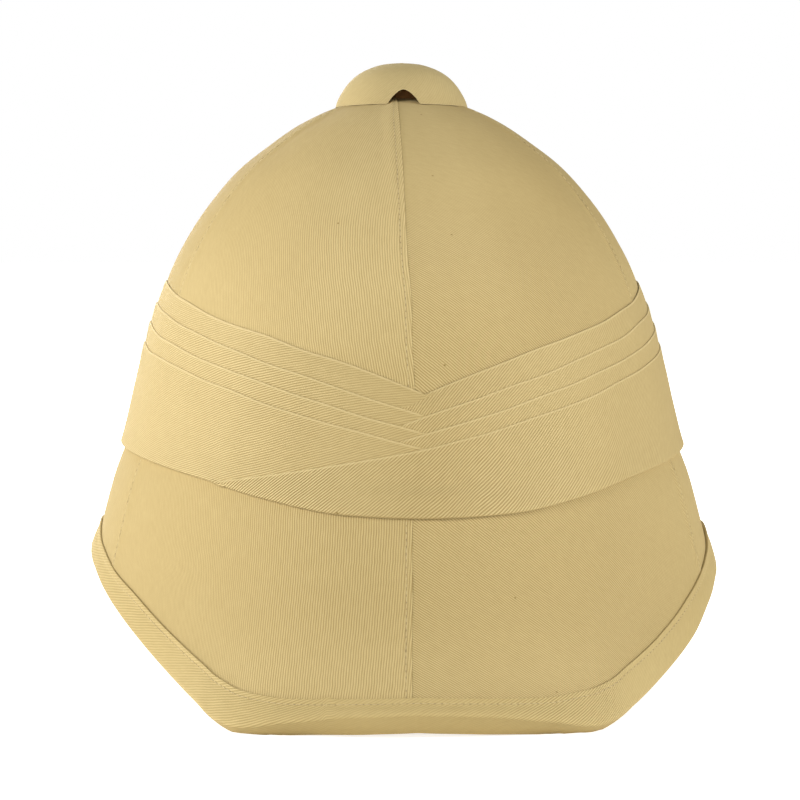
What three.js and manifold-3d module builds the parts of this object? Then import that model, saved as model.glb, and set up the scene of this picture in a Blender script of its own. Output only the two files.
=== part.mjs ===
// A pith sun helmet: a thick pith shell covered with six sewn twill panels, a bound rim,
// a pleated wrap that crosses at the back and at the front, and a domed ventilator cap.
//
// Millimetres, +Z up. The wearer faces -Y, so +Y is the back and +X is the wearer's left.
// A turn is an angle in degrees round the hat: 0 at the back, 90 at the wearer's left,
// 180 at the front. A level is a row number in SECTIONS, and may fall between two rows.

import * as THREE from 'three';
import { mergeVertices } from 'three/addons/utils/BufferGeometryUtils.js';
import Module from 'manifold-3d';

const wasm = await Module();
wasm.setup();

// Overall form of the outer cloth
const CROWN_HEIGHT = 241.4;
const HALF_WIDTH = 127;
const BACK_REACH = 172;
const FRONT_REACH = 172;
const SIDE_RISE = 57.5;

// Walls and layers
const PITH_THICKNESS = 8;
const CLOTH_THICKNESS = 1.2;
const CLEARANCE = 0.35;

// Bound rim
const BINDING_RISE_OUTSIDE = 13;
const BINDING_RISE_INSIDE = 14;
const BINDING_THICKNESS = 1.2;
const BINDING_EDGE_THICKNESS = 1.7;
const REST_FLAT_DEPTH = 0.6;
const INNER_CORNER_FLAT = 2.4;

// Pleated wrap
const PLEAT_EDGE_THICKNESS = 2.2;
const PLEAT_ROOT_THICKNESS = 1.1;
const WRAP_TURN = 2.5;
const TIP_HEIGHT = 0.6;

// Ventilator
const VENT_HOLE_RADIUS = 11;
const CAP_RADIUS = 27.2;
const CAP_HEIGHT = 18.6;
const CAP_WALL = 2;
const ARCH_WIDTH = 12.6;
const ARCH_HEIGHT = 6.3;

// Facets
const STATION_STEP = 7.5;
const CROSSING_STEP = 3.75;
const CROSSING_ZONE = 15;
const CAP_STATIONS = 40;

// Horizontal sections of the outer cloth, from the top down. Each is an oval with its own
// half lengths towards the back and the front. height is a share of CROWN_HEIGHT,
// width of HALF_WIDTH, back of BACK_REACH and front of FRONT_REACH.
const SECTIONS = [
  { height: 1.0, width: 0.0, back: 0.0, front: 0.0 },
  { height: 0.994, width: 0.11, back: 0.088, front: 0.088 },
  { height: 0.979, width: 0.22, back: 0.177, front: 0.177 },
  { height: 0.952, width: 0.328, back: 0.27, front: 0.267 },
  { height: 0.913, width: 0.437, back: 0.363, front: 0.36 },
  { height: 0.872, width: 0.531, back: 0.439, front: 0.436 },
  { height: 0.818, width: 0.619, back: 0.512, front: 0.509 },
  { height: 0.764, width: 0.687, back: 0.57, front: 0.564 },
  { height: 0.71, width: 0.74, back: 0.613, front: 0.608 },
  { height: 0.627, width: 0.795, back: 0.66, front: 0.654 },
  { height: 0.52, width: 0.842, back: 0.704, front: 0.698 },
  { height: 0.424, width: 0.884, back: 0.741, front: 0.738 },
  { height: 0.358, width: 0.928, back: 0.779, front: 0.779 },
  { height: 0.275, width: 0.97, back: 0.826, front: 0.829 },
  { height: 0.221, width: 0.996, back: 0.858, front: 0.863 },
  { height: 0.118, width: 1.051, back: 0.933, front: 0.942 },
  { height: 0.014, width: 1.114, back: 1.035, front: 1.041 },
];
const BROW_LEVEL = 11;
const FLARE_LEVEL = 12;

// The rim's edge by turn. left and right are heights as shares of SIDE_RISE on the two
// sides of the hat, which was bound by hand and isn't quite even; binding is how far the
// strip climbs the outside, as a share of BINDING_RISE_OUTSIDE.
const RIM = [
  { turn: 0, left: 0.186, right: 0.186, binding: 0.48 },
  { turn: 10, left: 0.17, right: 0.17, binding: 0.51 },
  { turn: 20, left: 0.129, right: 0.129, binding: 0.62 },
  { turn: 28, left: 0.098, right: 0.093, binding: 0.9 },
  { turn: 36, left: 0.219, right: 0.195, binding: 1.0 },
  { turn: 45, left: 0.421, right: 0.369, binding: 0.88 },
  { turn: 55, left: 0.616, right: 0.543, binding: 0.75 },
  { turn: 65, left: 0.781, right: 0.717, binding: 0.65 },
  { turn: 75, left: 0.904, right: 0.838, binding: 0.66 },
  { turn: 90, left: 1.0, right: 0.948, binding: 0.92 },
  { turn: 110, left: 0.922, right: 0.9, binding: 0.92 },
  { turn: 130, left: 0.67, right: 0.66, binding: 0.92 },
  { turn: 150, left: 0.313, right: 0.313, binding: 0.92 },
  { turn: 165, left: 0.15, right: 0.15, binding: 0.92 },
  { turn: 180, left: 0.12, right: 0.12, binding: 0.92 },
];

// Folded edges of the wrap by the angle from the crossing, as shares of CROWN_HEIGHT.
// An edge runs on under the other side's folds at angles below 0.
const FOLD_EDGES = [
  { angle: -45, edges: [0.36, 0.36, 0.36, 0.372], hem: 0.379 },
  { angle: -30, edges: [0.4, 0.395, 0.392, 0.39], hem: 0.354 },
  { angle: -15, edges: [0.455, 0.438, 0.422, 0.411], hem: 0.334 },
  { angle: 0, edges: [0.519, 0.485, 0.458, 0.434], hem: 0.329 },
  { angle: 15, edges: [0.563, 0.522, 0.491, 0.465], hem: 0.334 },
  { angle: 30, edges: [0.597, 0.557, 0.525, 0.495], hem: 0.354 },
  { angle: 45, edges: [0.625, 0.588, 0.555, 0.526], hem: 0.379 },
  { angle: 60, edges: [0.651, 0.616, 0.581, 0.552], hem: 0.395 },
  { angle: 75, edges: [0.675, 0.638, 0.603, 0.571], hem: 0.407 },
  { angle: 90, edges: [0.689, 0.652, 0.619, 0.584], hem: 0.414 },
];
const FOLD_COUNT = 4;

// Outline of the ventilator cap from its rim up: shares of CAP_RADIUS and CAP_HEIGHT.
const CAP_OUTLINE = [
  { radius: 1.0, height: 0.0 },
  { radius: 0.965, height: 0.16 },
  { radius: 0.9, height: 0.34 },
  { radius: 0.815, height: 0.52 },
  { radius: 0.69, height: 0.7 },
  { radius: 0.5, height: 0.86 },
  { radius: 0.26, height: 0.965 },
  { radius: 0.0, height: 1.0 },
];

// Seams of the six panels, with the name of the panel that follows each
const PANELS = [
  { name: 'cover_back_left', from: 0, to: 67.5 },
  { name: 'cover_side_left', from: 67.5, to: 120 },
  { name: 'cover_front_left', from: 120, to: 180 },
  { name: 'cover_front_right', from: 180, to: 240 },
  { name: 'cover_side_right', from: 240, to: 292.5 },
  { name: 'cover_back_right', from: 292.5, to: 360 },
];
const SEAM_GAP_ANGLE = THREE.MathUtils.radToDeg(CLEARANCE / HALF_WIDTH);
const VENT_SEAM_GAP_ANGLE = THREE.MathUtils.radToDeg(CLEARANCE / VENT_HOLE_RADIUS);

// A smooth curve through (x, y) pairs that never overshoots between two of them.
function smoothCurve(xs, ys) {
  const last = xs.length - 1;
  const secant = xs.slice(1).map((x, i) => (ys[i + 1] - ys[i]) / (x - xs[i]));
  const slope = xs.map((_, i) => {
    if (i === 0) return secant[0];
    if (i === last) return secant[last - 1];
    const [before, after] = [secant[i - 1], secant[i]];
    return before * after <= 0 ? 0 : (2 * before * after) / (before + after);
  });
  return (x) => {
    let i = 0;
    while (i < last - 1 && x > xs[i + 1]) i += 1;
    const step = xs[i + 1] - xs[i];
    const s = (x - xs[i]) / step;
    const rise = ys[i + 1] - ys[i];
    const bend0 = slope[i] * step - rise;
    const bend1 = rise - slope[i + 1] * step;
    return ys[i] + s * rise + s * (1 - s) * (bend0 * (1 - s) + bend1 * s);
  };
}

const levels = SECTIONS.map((_, i) => i);
const column = (name, size) => smoothCurve(levels, SECTIONS.map((row) => row[name] * size));
const heightAt = column('height', CROWN_HEIGHT);
const widthAt = column('width', HALF_WIDTH);
const backAt = column('back', BACK_REACH);
const frontAt = column('front', FRONT_REACH);

// The level at which a falling or rising column reaches a value.
function levelWhere(reached) {
  let low = 0;
  let high = SECTIONS.length - 1;
  for (let i = 0; i < 40; i += 1) {
    const middle = (low + high) / 2;
    if (reached(middle)) high = middle;
    else low = middle;
  }
  return (low + high) / 2;
}
const levelAtHeight = (height) => levelWhere((level) => heightAt(level) <= height);
const VENT_LEVEL = levelWhere((level) => widthAt(level) >= VENT_HOLE_RADIUS);

// A point of the outer cloth, moved out along the cloth's normal.
function clothPoint(turn, level) {
  const angle = THREE.MathUtils.degToRad(turn);
  const reach = Math.cos(angle) >= 0 ? backAt(level) : frontAt(level);
  const x = widthAt(level) * Math.sin(angle);
  return new THREE.Vector3(x, reach * Math.cos(angle), heightAt(level));
}

const NUDGE = 1e-3;

function clothNormal(turn, level) {
  const across = clothPoint(turn + NUDGE, level).sub(clothPoint(turn - NUDGE, level));
  const down = clothPoint(turn, level + NUDGE).sub(clothPoint(turn, level - NUDGE));
  return across.cross(down).normalize();
}

function layerPoint(turn, level, offset) {
  return clothPoint(turn, level).addScaledVector(clothNormal(turn, level), offset);
}

// Whole turns fold back to 0 to 180, with the side that they are on.
function sideOf(turn) {
  const around = ((turn % 360) + 360) % 360;
  return around <= 180 ? { side: 'left', turn: around } : { side: 'right', turn: 360 - around };
}

const rimTurns = RIM.map((row) => row.turn);
const rimHeight = {
  left: smoothCurve(rimTurns, RIM.map((row) => row.left * SIDE_RISE)),
  right: smoothCurve(rimTurns, RIM.map((row) => row.right * SIDE_RISE)),
};
const bindingRise = smoothCurve(rimTurns, RIM.map((row) => row.binding * BINDING_RISE_OUTSIDE));

function rimHeightAt(turn) {
  const place = sideOf(turn);
  return rimHeight[place.side](place.turn);
}

// A closed body from sections of points. Each section has an outer and an inner chain, both
// from the top down, and sections follow each other with the turn. Facets of both chains are
// split along the same diagonal, so that the faces of two layers stay parallel.
function loft(sections, closed) {
  const corners = sections.map(({ outer, inner }) => [...outer, ...[...inner].reverse()]);
  const size = corners[0].length;
  const outerSize = sections[0].outer.length;
  const position = corners.flat().flatMap((p) => [p.x, p.y, p.z]);
  const index = [];
  const at = (section, k) => (section % sections.length) * size + (k % size);
  const lastSection = closed ? sections.length : sections.length - 1;
  for (let j = 0; j < lastSection; j += 1) {
    for (let k = 0; k < size; k += 1) {
      if (k < outerSize) {
        index.push(at(j, k), at(j + 1, k), at(j, k + 1));
        index.push(at(j + 1, k), at(j + 1, k + 1), at(j, k + 1));
      } else {
        index.push(at(j, k), at(j + 1, k), at(j + 1, k + 1));
        index.push(at(j, k), at(j + 1, k + 1), at(j, k + 1));
      }
    }
  }
  if (!closed) {
    const end = sections.length - 1;
    for (let k = 0; k < outerSize - 1; k += 1) {
      const [o0, o1, i1, i0] = [k, k + 1, size - 2 - k, size - 1 - k];
      index.push(at(0, o0), at(0, o1), at(0, i1), at(0, o0), at(0, i1), at(0, i0));
      index.push(at(end, o0), at(end, i1), at(end, o1), at(end, o0), at(end, i0), at(end, i1));
    }
  }
  const geometry = new THREE.BufferGeometry();
  geometry.setAttribute('position', new THREE.Float32BufferAttribute(position, 3));
  geometry.setIndex(index);
  return geometry;
}

function stations(from, to, step) {
  const count = Math.round((to - from) / step);
  return Array.from({ length: count + 1 }, (_, i) => from + ((to - from) * i) / count);
}

const wholeTurn = stations(0, 360, STATION_STEP).slice(0, -1);

// Rows of the shell and its cover: fixed on the crown, spread over the brim down to the
// binding's upper edge, and one at the rim.
const CROWN_ROWS = [2, 3, 4.5, 6, 7.5, 9, 10, BROW_LEVEL, FLARE_LEVEL];
const INNER_CROWN_ROWS = [2, 4, 6, 8.5, BROW_LEVEL];
const BRIM_STEPS = 3;
const INNER_BRIM_STEPS = 2;

const EDGE_INSET = BINDING_EDGE_THICKNESS + 2 * CLEARANCE;

function rowsTo(crownRows, brimSteps, turn, bindingTop) {
  const start = crownRows[crownRows.length - 1];
  const brim = Array.from(
    { length: brimSteps },
    (_, i) => start + ((bindingTop - start) * (i + 1)) / brimSteps,
  );
  return [VENT_LEVEL, ...crownRows, ...brim, levelAtHeight(rimHeightAt(turn) + EDGE_INSET)];
}

const bindingTopOutside = (turn) =>
  levelAtHeight(rimHeightAt(turn) + bindingRise(sideOf(turn).turn));
const bindingTopInside = (turn) => levelAtHeight(rimHeightAt(turn) + BINDING_RISE_INSIDE);

function outsideChain(turn, offset) {
  const rows = rowsTo(CROWN_ROWS, BRIM_STEPS, turn, bindingTopOutside(turn));
  return rows.map((level) => layerPoint(turn, level, offset));
}

function insideChain(turn, offset) {
  const rows = rowsTo(INNER_CROWN_ROWS, INNER_BRIM_STEPS, turn, bindingTopInside(turn));
  return rows.map((level) => layerPoint(turn, level, offset));
}

// Pith shell
const SHELL_OUTSIDE = -(CLOTH_THICKNESS + CLEARANCE);
const SHELL_INSIDE = SHELL_OUTSIDE - PITH_THICKNESS;

function pithShell() {
  const sections = wholeTurn.map((turn) => ({
    outer: outsideChain(turn, SHELL_OUTSIDE),
    inner: insideChain(turn, SHELL_INSIDE),
  }));
  return loft(sections, true);
}

// Cover panels. A panel's end columns stand back from the seam on the straight line to the
// next station, so that they stay parallel to the shell's facets.
function coverPanel({ from, to }) {
  const turns = stations(from, to, STATION_STEP);
  const last = turns.length - 1;
  const standBack = (seamChain, nextChain) =>
    seamChain.map((point, row) => {
      const gapAngle = row === 0 ? VENT_SEAM_GAP_ANGLE : SEAM_GAP_ANGLE * (HALF_WIDTH / widthAt(Math.max(row + 1, 2)));
      return point.clone().lerp(nextChain[row], Math.min(gapAngle / STATION_STEP, 0.4));
    });
  const sections = turns.map((turn, i) => {
    const outer = outsideChain(turn, 0);
    const inner = outsideChain(turn, -CLOTH_THICKNESS);
    if (i > 0 && i < last) return { outer, inner };
    const neighbour = i === 0 ? turns[1] : turns[last - 1];
    return {
      outer: standBack(outer, outsideChain(neighbour, 0)),
      inner: standBack(inner, outsideChain(neighbour, -CLOTH_THICKNESS)),
    };
  });
  return loft(sections, false);
}

// Rim binding: a strip folded round the edge. Its section is worked out in the plane of the
// cloth's normal and the way down the cloth. Its lowest corner is blunted to a level land.
const BINDING_OUTSIDE = CLEARANCE + BINDING_THICKNESS;
const BINDING_INSIDE = SHELL_INSIDE - CLEARANCE - BINDING_THICKNESS;

function bindingSection(turn) {
  const edgeHeight = rimHeightAt(turn);
  const edge = levelAtHeight(edgeHeight);
  const normal = clothNormal(turn, edge);
  const down = clothPoint(turn, edge + NUDGE).sub(clothPoint(turn, edge - NUDGE)).normalize();
  const corner = (below, offset) =>
    clothPoint(turn, edge).addScaledVector(down, below).addScaledVector(normal, offset);
  const topOutside = bindingTopOutside(turn);
  const topInside = bindingTopInside(turn);
  const middleInside = (topInside + edge) / 2;
  const liningOffset = BINDING_INSIDE + BINDING_THICKNESS;
  const levelRise = Math.max(normal.z, 0) / -down.z;
  const blunt = (width) => width * levelRise;
  const outer = [
    layerPoint(turn, topOutside, BINDING_OUTSIDE),
    corner(0, BINDING_OUTSIDE),
    corner(0, BINDING_INSIDE + INNER_CORNER_FLAT),
    corner(-blunt(INNER_CORNER_FLAT), BINDING_INSIDE),
    layerPoint(turn, middleInside, BINDING_INSIDE),
    layerPoint(turn, topInside, BINDING_INSIDE),
  ];
  const inner = [
    layerPoint(turn, topOutside, CLEARANCE),
    corner(-BINDING_EDGE_THICKNESS, CLEARANCE),
    corner(-BINDING_EDGE_THICKNESS, liningOffset + INNER_CORNER_FLAT / 2),
    corner(-BINDING_EDGE_THICKNESS - blunt(INNER_CORNER_FLAT / 2), liningOffset),
    layerPoint(turn, middleInside, liningOffset),
    layerPoint(turn, topInside, liningOffset),
  ];
  return { outer, inner };
}

// The cloth is pressed flat where the hat stands on the table.
function rimBinding() {
  const sections = wholeTurn.map(bindingSection);
  const points = sections.flatMap((section) => section.outer);
  const table = Math.min(...points.map((point) => point.z)) + REST_FLAT_DEPTH;
  points.forEach((point) => {
    point.z = Math.max(point.z, table);
  });
  return { geometry: loft(sections, true), table };
}

// Pleated wrap. Every fold lies on the one above it, and at each crossing the folds of the
// two sides lie over each other in turn: left 1, right 1, left 2, right 2 and so on.
const foldAngles = FOLD_EDGES.map((row) => row.angle);
const hemHeight = smoothCurve(foldAngles, FOLD_EDGES.map((row) => row.hem * CROWN_HEIGHT));
const edgeHeights = Array.from({ length: FOLD_COUNT }, (_, i) =>
  smoothCurve(foldAngles, FOLD_EDGES.map((row) => row.edges[i] * CROWN_HEIGHT)),
);

function foldEdge(number, angle) {
  return number < FOLD_COUNT ? edgeHeights[number](angle) : hemHeight(angle);
}

// Top and bottom of a fold by its angle from the crossing, measured on its own side.
function foldBand(side, number, angle) {
  const over = side === 'left' ? number : number + 1;
  const top = foldEdge(number, angle);
  const hem = hemHeight(angle);
  const ownNext = foldEdge(number + 1, angle);
  const otherSide = over < FOLD_COUNT ? edgeHeights[over](-angle) : hem;
  return { top, bottom: Math.max(ownNext, otherSide, hem) + CLEARANCE };
}

const crossingAngle = (around) => (around <= 90 ? around : 180 - around);

// The angle before the crossing at which a fold comes to its point.
function tipAngle(side, number) {
  let low = foldAngles[0];
  let high = CROSSING_ZONE;
  for (let i = 0; i < 40; i += 1) {
    const middle = (low + high) / 2;
    const { top, bottom } = foldBand(side, number, middle);
    if (top - bottom > TIP_HEIGHT) high = middle;
    else low = middle;
  }
  return high;
}

// Turns of a fold's sections: the shell's stations, with more of them near a crossing. The
// wrap is turned by WRAP_TURN at the back and the same way at the front.
function foldTurns(side, number) {
  const tip = tipAngle(side, number);
  const shift = side === 'left' ? -WRAP_TURN : WRAP_TURN;
  const first = tip + shift;
  const last = 180 - tip + shift;
  const near = (turn) => Math.min(Math.abs(turn), Math.abs(turn - 180)) <= CROSSING_ZONE;
  const all = stations(-60, 240, CROSSING_STEP);
  const kept = all.filter((turn, i) => near(turn) || i % Math.round(STATION_STEP / CROSSING_STEP) === 0);
  const inside = kept.filter((turn) => turn > first + 0.8 && turn < last - 0.8);
  return [first, ...inside, last].map((turn) => ({ turn, around: turn - shift }));
}

function wrapFold(side, number) {
  const rows = number === FOLD_COUNT - 1 ? 3 : 1;
  const way = side === 'left' ? 1 : -1;
  const sections = foldTurns(side, number).map(({ turn, around }) => {
    const { top, bottom } = foldBand(side, number, crossingAngle(around));
    const shares = Array.from({ length: rows + 1 }, (_, i) => i / rows);
    const level = (share) => levelAtHeight(top + (bottom - top) * share);
    const thickness = (share) =>
      PLEAT_EDGE_THICKNESS + (PLEAT_ROOT_THICKNESS - PLEAT_EDGE_THICKNESS) * share;
    return {
      outer: shares.map((share) => layerPoint(way * turn, level(share), CLEARANCE + thickness(share))),
      inner: shares.map((share) => layerPoint(way * turn, level(share), CLEARANCE)),
    };
  });
  return loft(way > 0 ? sections : sections.reverse(), false);
}

// Ventilator cap: a hollow dome that stands on the crown, with an arch at back and front.
// Its rim follows the crown, whose height at a radius is found along each turn.
function crownHeightAt(x, y) {
  const inside = (level) => {
    const reach = y >= 0 ? backAt(level) : frontAt(level);
    return (x / widthAt(level)) ** 2 + (y / reach) ** 2 <= 1;
  };
  return heightAt(levelWhere((level) => level > 0 && inside(level)));
}

function asManifold(geometry) {
  const bare = geometry.clone();
  bare.deleteAttribute('normal');
  bare.deleteAttribute('uv');
  const merged = mergeVertices(bare, 1e-4);
  const triangles = merged.index ? merged.index.array : merged.getIndex().array;
  return new wasm.Manifold(new wasm.Mesh({
    numProp: 3,
    vertProperties: new Float32Array(merged.attributes.position.array),
    triVerts: new Uint32Array(triangles),
  }));
}

function asGeometry(manifold) {
  const mesh = manifold.getMesh();
  const geometry = new THREE.BufferGeometry();
  geometry.setAttribute('position', new THREE.BufferAttribute(mesh.vertProperties, 3));
  geometry.setIndex(new THREE.BufferAttribute(mesh.triVerts, 1));
  return geometry;
}

function dome(outline, foot) {
  const rings = outline.slice(0, -1);
  const apex = outline[outline.length - 1];
  const position = [];
  rings.forEach(({ radius, height }, row) => {
    for (let i = 0; i < CAP_STATIONS; i += 1) {
      const angle = (2 * Math.PI * i) / CAP_STATIONS;
      const [x, y] = [radius * Math.sin(angle), radius * Math.cos(angle)];
      position.push(x, y, row === 0 ? foot(x, y) : height);
    }
  });
  const top = rings.length * CAP_STATIONS;
  position.push(0, 0, apex.height, 0, 0, foot(0, 0));
  const index = [];
  const at = (row, i) => row * CAP_STATIONS + (i % CAP_STATIONS);
  for (let i = 0; i < CAP_STATIONS; i += 1) {
    for (let row = 0; row < rings.length - 1; row += 1) {
      index.push(at(row, i), at(row + 1, i), at(row, i + 1));
      index.push(at(row + 1, i), at(row + 1, i + 1), at(row, i + 1));
    }
    index.push(at(rings.length - 1, i), top, at(rings.length - 1, i + 1));
    index.push(at(0, i + 1), top + 1, at(0, i));
  }
  const geometry = new THREE.BufferGeometry();
  geometry.setAttribute('position', new THREE.Float32BufferAttribute(position, 3));
  geometry.setIndex(index);
  return geometry;
}

function ventCap() {
  const base = crownHeightAt(CAP_RADIUS, 0);
  const outline = (wall) => CAP_OUTLINE.map(({ radius, height }) => ({
    radius: radius * (CAP_RADIUS - wall),
    height: base + height * (CAP_HEIGHT - wall),
  }));
  const seat = (x, y) => crownHeightAt(x, y) + CLEARANCE;
  const below = () => heightAt(BROW_LEVEL);
  const outside = asManifold(dome(outline(0), seat));
  const hollow = asManifold(dome(outline(CAP_WALL), below));
  const archShape = new THREE.Shape();
  archShape.moveTo(-ARCH_WIDTH / 2, -ARCH_HEIGHT);
  archShape.lineTo(ARCH_WIDTH / 2, -ARCH_HEIGHT);
  archShape.lineTo(ARCH_WIDTH / 2, 0);
  archShape.absellipse(0, 0, ARCH_WIDTH / 2, ARCH_HEIGHT, 0, Math.PI, false, 0);
  const arch = new THREE.ExtrudeGeometry(archShape, {
    depth: 4 * CAP_RADIUS,
    bevelEnabled: false,
    curveSegments: 8,
  });
  arch.translate(0, 0, -2 * CAP_RADIUS);
  arch.rotateX(Math.PI / 2);
  arch.translate(0, 0, base);
  return asGeometry(outside.subtract(hollow).subtract(asManifold(arch)));
}

// Materials
const clothMaterial = new THREE.MeshStandardMaterial({ color: 0xcdb882, roughness: 0.85, metalness: 0 });
const wrapMaterial = new THREE.MeshStandardMaterial({ color: 0xd2bd86, roughness: 0.8, metalness: 0 });
const bindingMaterial = new THREE.MeshStandardMaterial({ color: 0xcbb680, roughness: 0.85, metalness: 0 });
const pithMaterial = new THREE.MeshStandardMaterial({ color: 0xd8c9a4, roughness: 0.95, metalness: 0 });
const capMaterial = new THREE.MeshStandardMaterial({ color: 0xc9b47e, roughness: 0.85, metalness: 0 });

const helmet = new THREE.Group();

function addPiece(name, geometry, material) {
  const mesh = new THREE.Mesh(geometry, material);
  mesh.name = name;
  helmet.add(mesh);
}

const binding = rimBinding();

addPiece('pith_shell', pithShell(), pithMaterial);
PANELS.forEach((panel) => addPiece(panel.name, coverPanel(panel), clothMaterial));
addPiece('rim_binding', binding.geometry, bindingMaterial);
for (const side of ['left', 'right']) {
  for (let number = 0; number < FOLD_COUNT; number += 1) {
    addPiece(`wrap_${side}_fold_${number + 1}`, wrapFold(side, number), wrapMaterial);
  }
}
addPiece('vent_cap', ventCap(), capMaterial);

// The hat stands on z = 0, centred on its own length and width.
const box = new THREE.Box3().setFromBufferAttribute(binding.geometry.attributes.position);
const middle = box.getCenter(new THREE.Vector3());
helmet.position.set(-middle.x, -middle.y, -binding.table);

export default helmet;
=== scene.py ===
"""A pith sun helmet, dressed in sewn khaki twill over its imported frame.

Everything is in metres, +Z up. The wearer faces -Y, so +Y is the back, which the camera looks
at, and +X is the wearer's left. A turn is an angle in degrees round the hat: 0 at the back, 90
at the wearer's left, 180 at the front. A level is a row number in the table of sections.
"""

import logging
import math
from dataclasses import dataclass, field
from enum import Enum
from typing import Optional, Sequence

import bmesh
import bpy
import numpy as np
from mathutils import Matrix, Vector

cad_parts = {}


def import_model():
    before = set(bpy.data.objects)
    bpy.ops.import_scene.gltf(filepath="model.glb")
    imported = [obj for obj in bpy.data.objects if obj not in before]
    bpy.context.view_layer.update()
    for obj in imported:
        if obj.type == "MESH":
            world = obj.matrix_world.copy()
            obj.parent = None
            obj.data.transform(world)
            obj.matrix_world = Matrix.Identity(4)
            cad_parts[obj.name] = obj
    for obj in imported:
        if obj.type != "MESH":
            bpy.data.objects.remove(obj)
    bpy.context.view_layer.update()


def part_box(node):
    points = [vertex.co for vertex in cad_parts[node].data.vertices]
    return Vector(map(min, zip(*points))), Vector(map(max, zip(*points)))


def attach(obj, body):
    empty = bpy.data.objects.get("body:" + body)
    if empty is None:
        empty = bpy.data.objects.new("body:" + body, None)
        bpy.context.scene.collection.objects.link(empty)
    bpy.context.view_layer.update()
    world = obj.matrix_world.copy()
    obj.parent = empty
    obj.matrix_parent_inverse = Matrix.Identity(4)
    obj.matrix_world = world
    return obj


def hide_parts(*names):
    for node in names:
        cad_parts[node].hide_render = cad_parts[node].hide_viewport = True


LOG = logging.getLogger("pith_helmet")

MM = 0.001
Array = np.ndarray

# steps for slopes, in levels and degrees, and how often a search halves its range
LEVEL_STEP = 1e-3
TURN_STEP = 1e-3
METRIC_STEP = 0.05
HALVINGS = 40

# the flattest lean of a twill line that its layout follows, in degrees
FLATTEST = 8.0
# height above the form's own zero that the camera looks at
AIM_HEIGHT = 116.9 * MM
WHITE = (1.0, 1.0, 1.0, 1.0)


class Side(Enum):
    """The two sides of the hat, with the sign of their turns."""

    LEFT = 1
    RIGHT = -1


class SeamEdge(Enum):
    """What a panel's edge does at a seam."""

    OVER = "folded edge that lies over the neighbour"
    UNDER = "flat edge under the neighbour's fold"


class SmoothCurve:
    """A smooth curve through points that never overshoots between two of them."""

    def __init__(self, xs: Sequence[float], ys: Sequence[float]) -> None:
        """Find the slope at each point.

        Args:
            xs: rising positions.
            ys: the value at each position.
        """
        self.xs = np.asarray(xs, dtype=float)
        self.ys = np.asarray(ys, dtype=float)
        secant = np.diff(self.ys) / np.diff(self.xs)
        before, after = secant[:-1], secant[1:]
        total = np.where(np.abs(before + after) < 1e-12, 1.0, before + after)
        inner = np.where(before * after > 0.0, 2.0 * before * after / total, 0.0)
        self.slope = np.concatenate([secant[:1], inner, secant[-1:]])

    def __call__(self, x: Array) -> Array:
        """Return the curve's value at x.

        Args:
            x: one position or an array of them.

        Returns:
            The values, in the shape of x.
        """
        x = np.asarray(x, dtype=float)
        i = np.clip(np.searchsorted(self.xs, x, side="right") - 1, 0, len(self.xs) - 2)
        step = self.xs[i + 1] - self.xs[i]
        s = (x - self.xs[i]) / step
        rise = self.ys[i + 1] - self.ys[i]
        bend0 = self.slope[i] * step - rise
        bend1 = rise - self.slope[i + 1] * step
        return self.ys[i] + s * rise + s * (1.0 - s) * (bend0 * (1.0 - s) + bend1 * s)


def smooth_step(low: float, high: float, x: Array) -> Array:
    """Return 0 below low, 1 above high and a soft step between them."""
    s = np.clip((np.asarray(x, dtype=float) - low) / (high - low), 0.0, 1.0)
    return s * s * (3.0 - 2.0 * s)


def bump_at(x: Array, centre: float, spread: float) -> Array:
    """Return a soft hump of height 1 at centre."""
    return np.exp(-(((np.asarray(x, dtype=float) - centre) / spread) ** 2))


def ripple(x: Array, y: Array, seed: float) -> Array:
    """Return a slow, irregular wave between about -1 and 1.

    Args:
        x: first coordinate, in waves of about 1.
        y: second coordinate, in waves of about 1.
        seed: moves the pattern.

    Returns:
        The wave's height at each place.
    """
    first = np.sin(2.1 * x + 1.3 * y + seed) * np.cos(1.7 * y - 0.8 * x + 2.3 * seed)
    second = np.sin(4.7 * x - 2.9 * y + 5.1 * seed) * 0.45
    third = np.cos(3.3 * y + 2.6 * x - 1.9 * seed) * 0.35
    return (first + second + third) / 1.4


def signed_turn(turn: Array) -> Array:
    """Return turns as -180 to 180 degrees from the back, above 0 on the wearer's left."""
    return np.mod(np.asarray(turn, dtype=float) + 180.0, 360.0) - 180.0


def curve_of(table: Sequence[object], place: str, column: str, size: float = 1.0) -> SmoothCurve:
    """Return the smooth curve of one column of a table against another, as shares of a size."""
    places = [getattr(row, place) for row in table]
    return SmoothCurve(places, [getattr(row, column) * size for row in table])


@dataclass(frozen=True)
class Section:
    """One horizontal oval of the outer cloth, as shares of the hat's sizes."""

    height: float
    width: float
    back: float
    front: float


@dataclass(frozen=True)
class RimPoint:
    """The rim at one turn, as shares of its sizes."""

    turn: float
    left: float
    right: float
    binding_left: float
    binding_right: float


@dataclass(frozen=True)
class FoldPoint:
    """The wrap's folded edges at one angle from the crossing, as shares of the crown's height."""

    angle: float
    edges: tuple[float, float, float, float]
    hem: float


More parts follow.
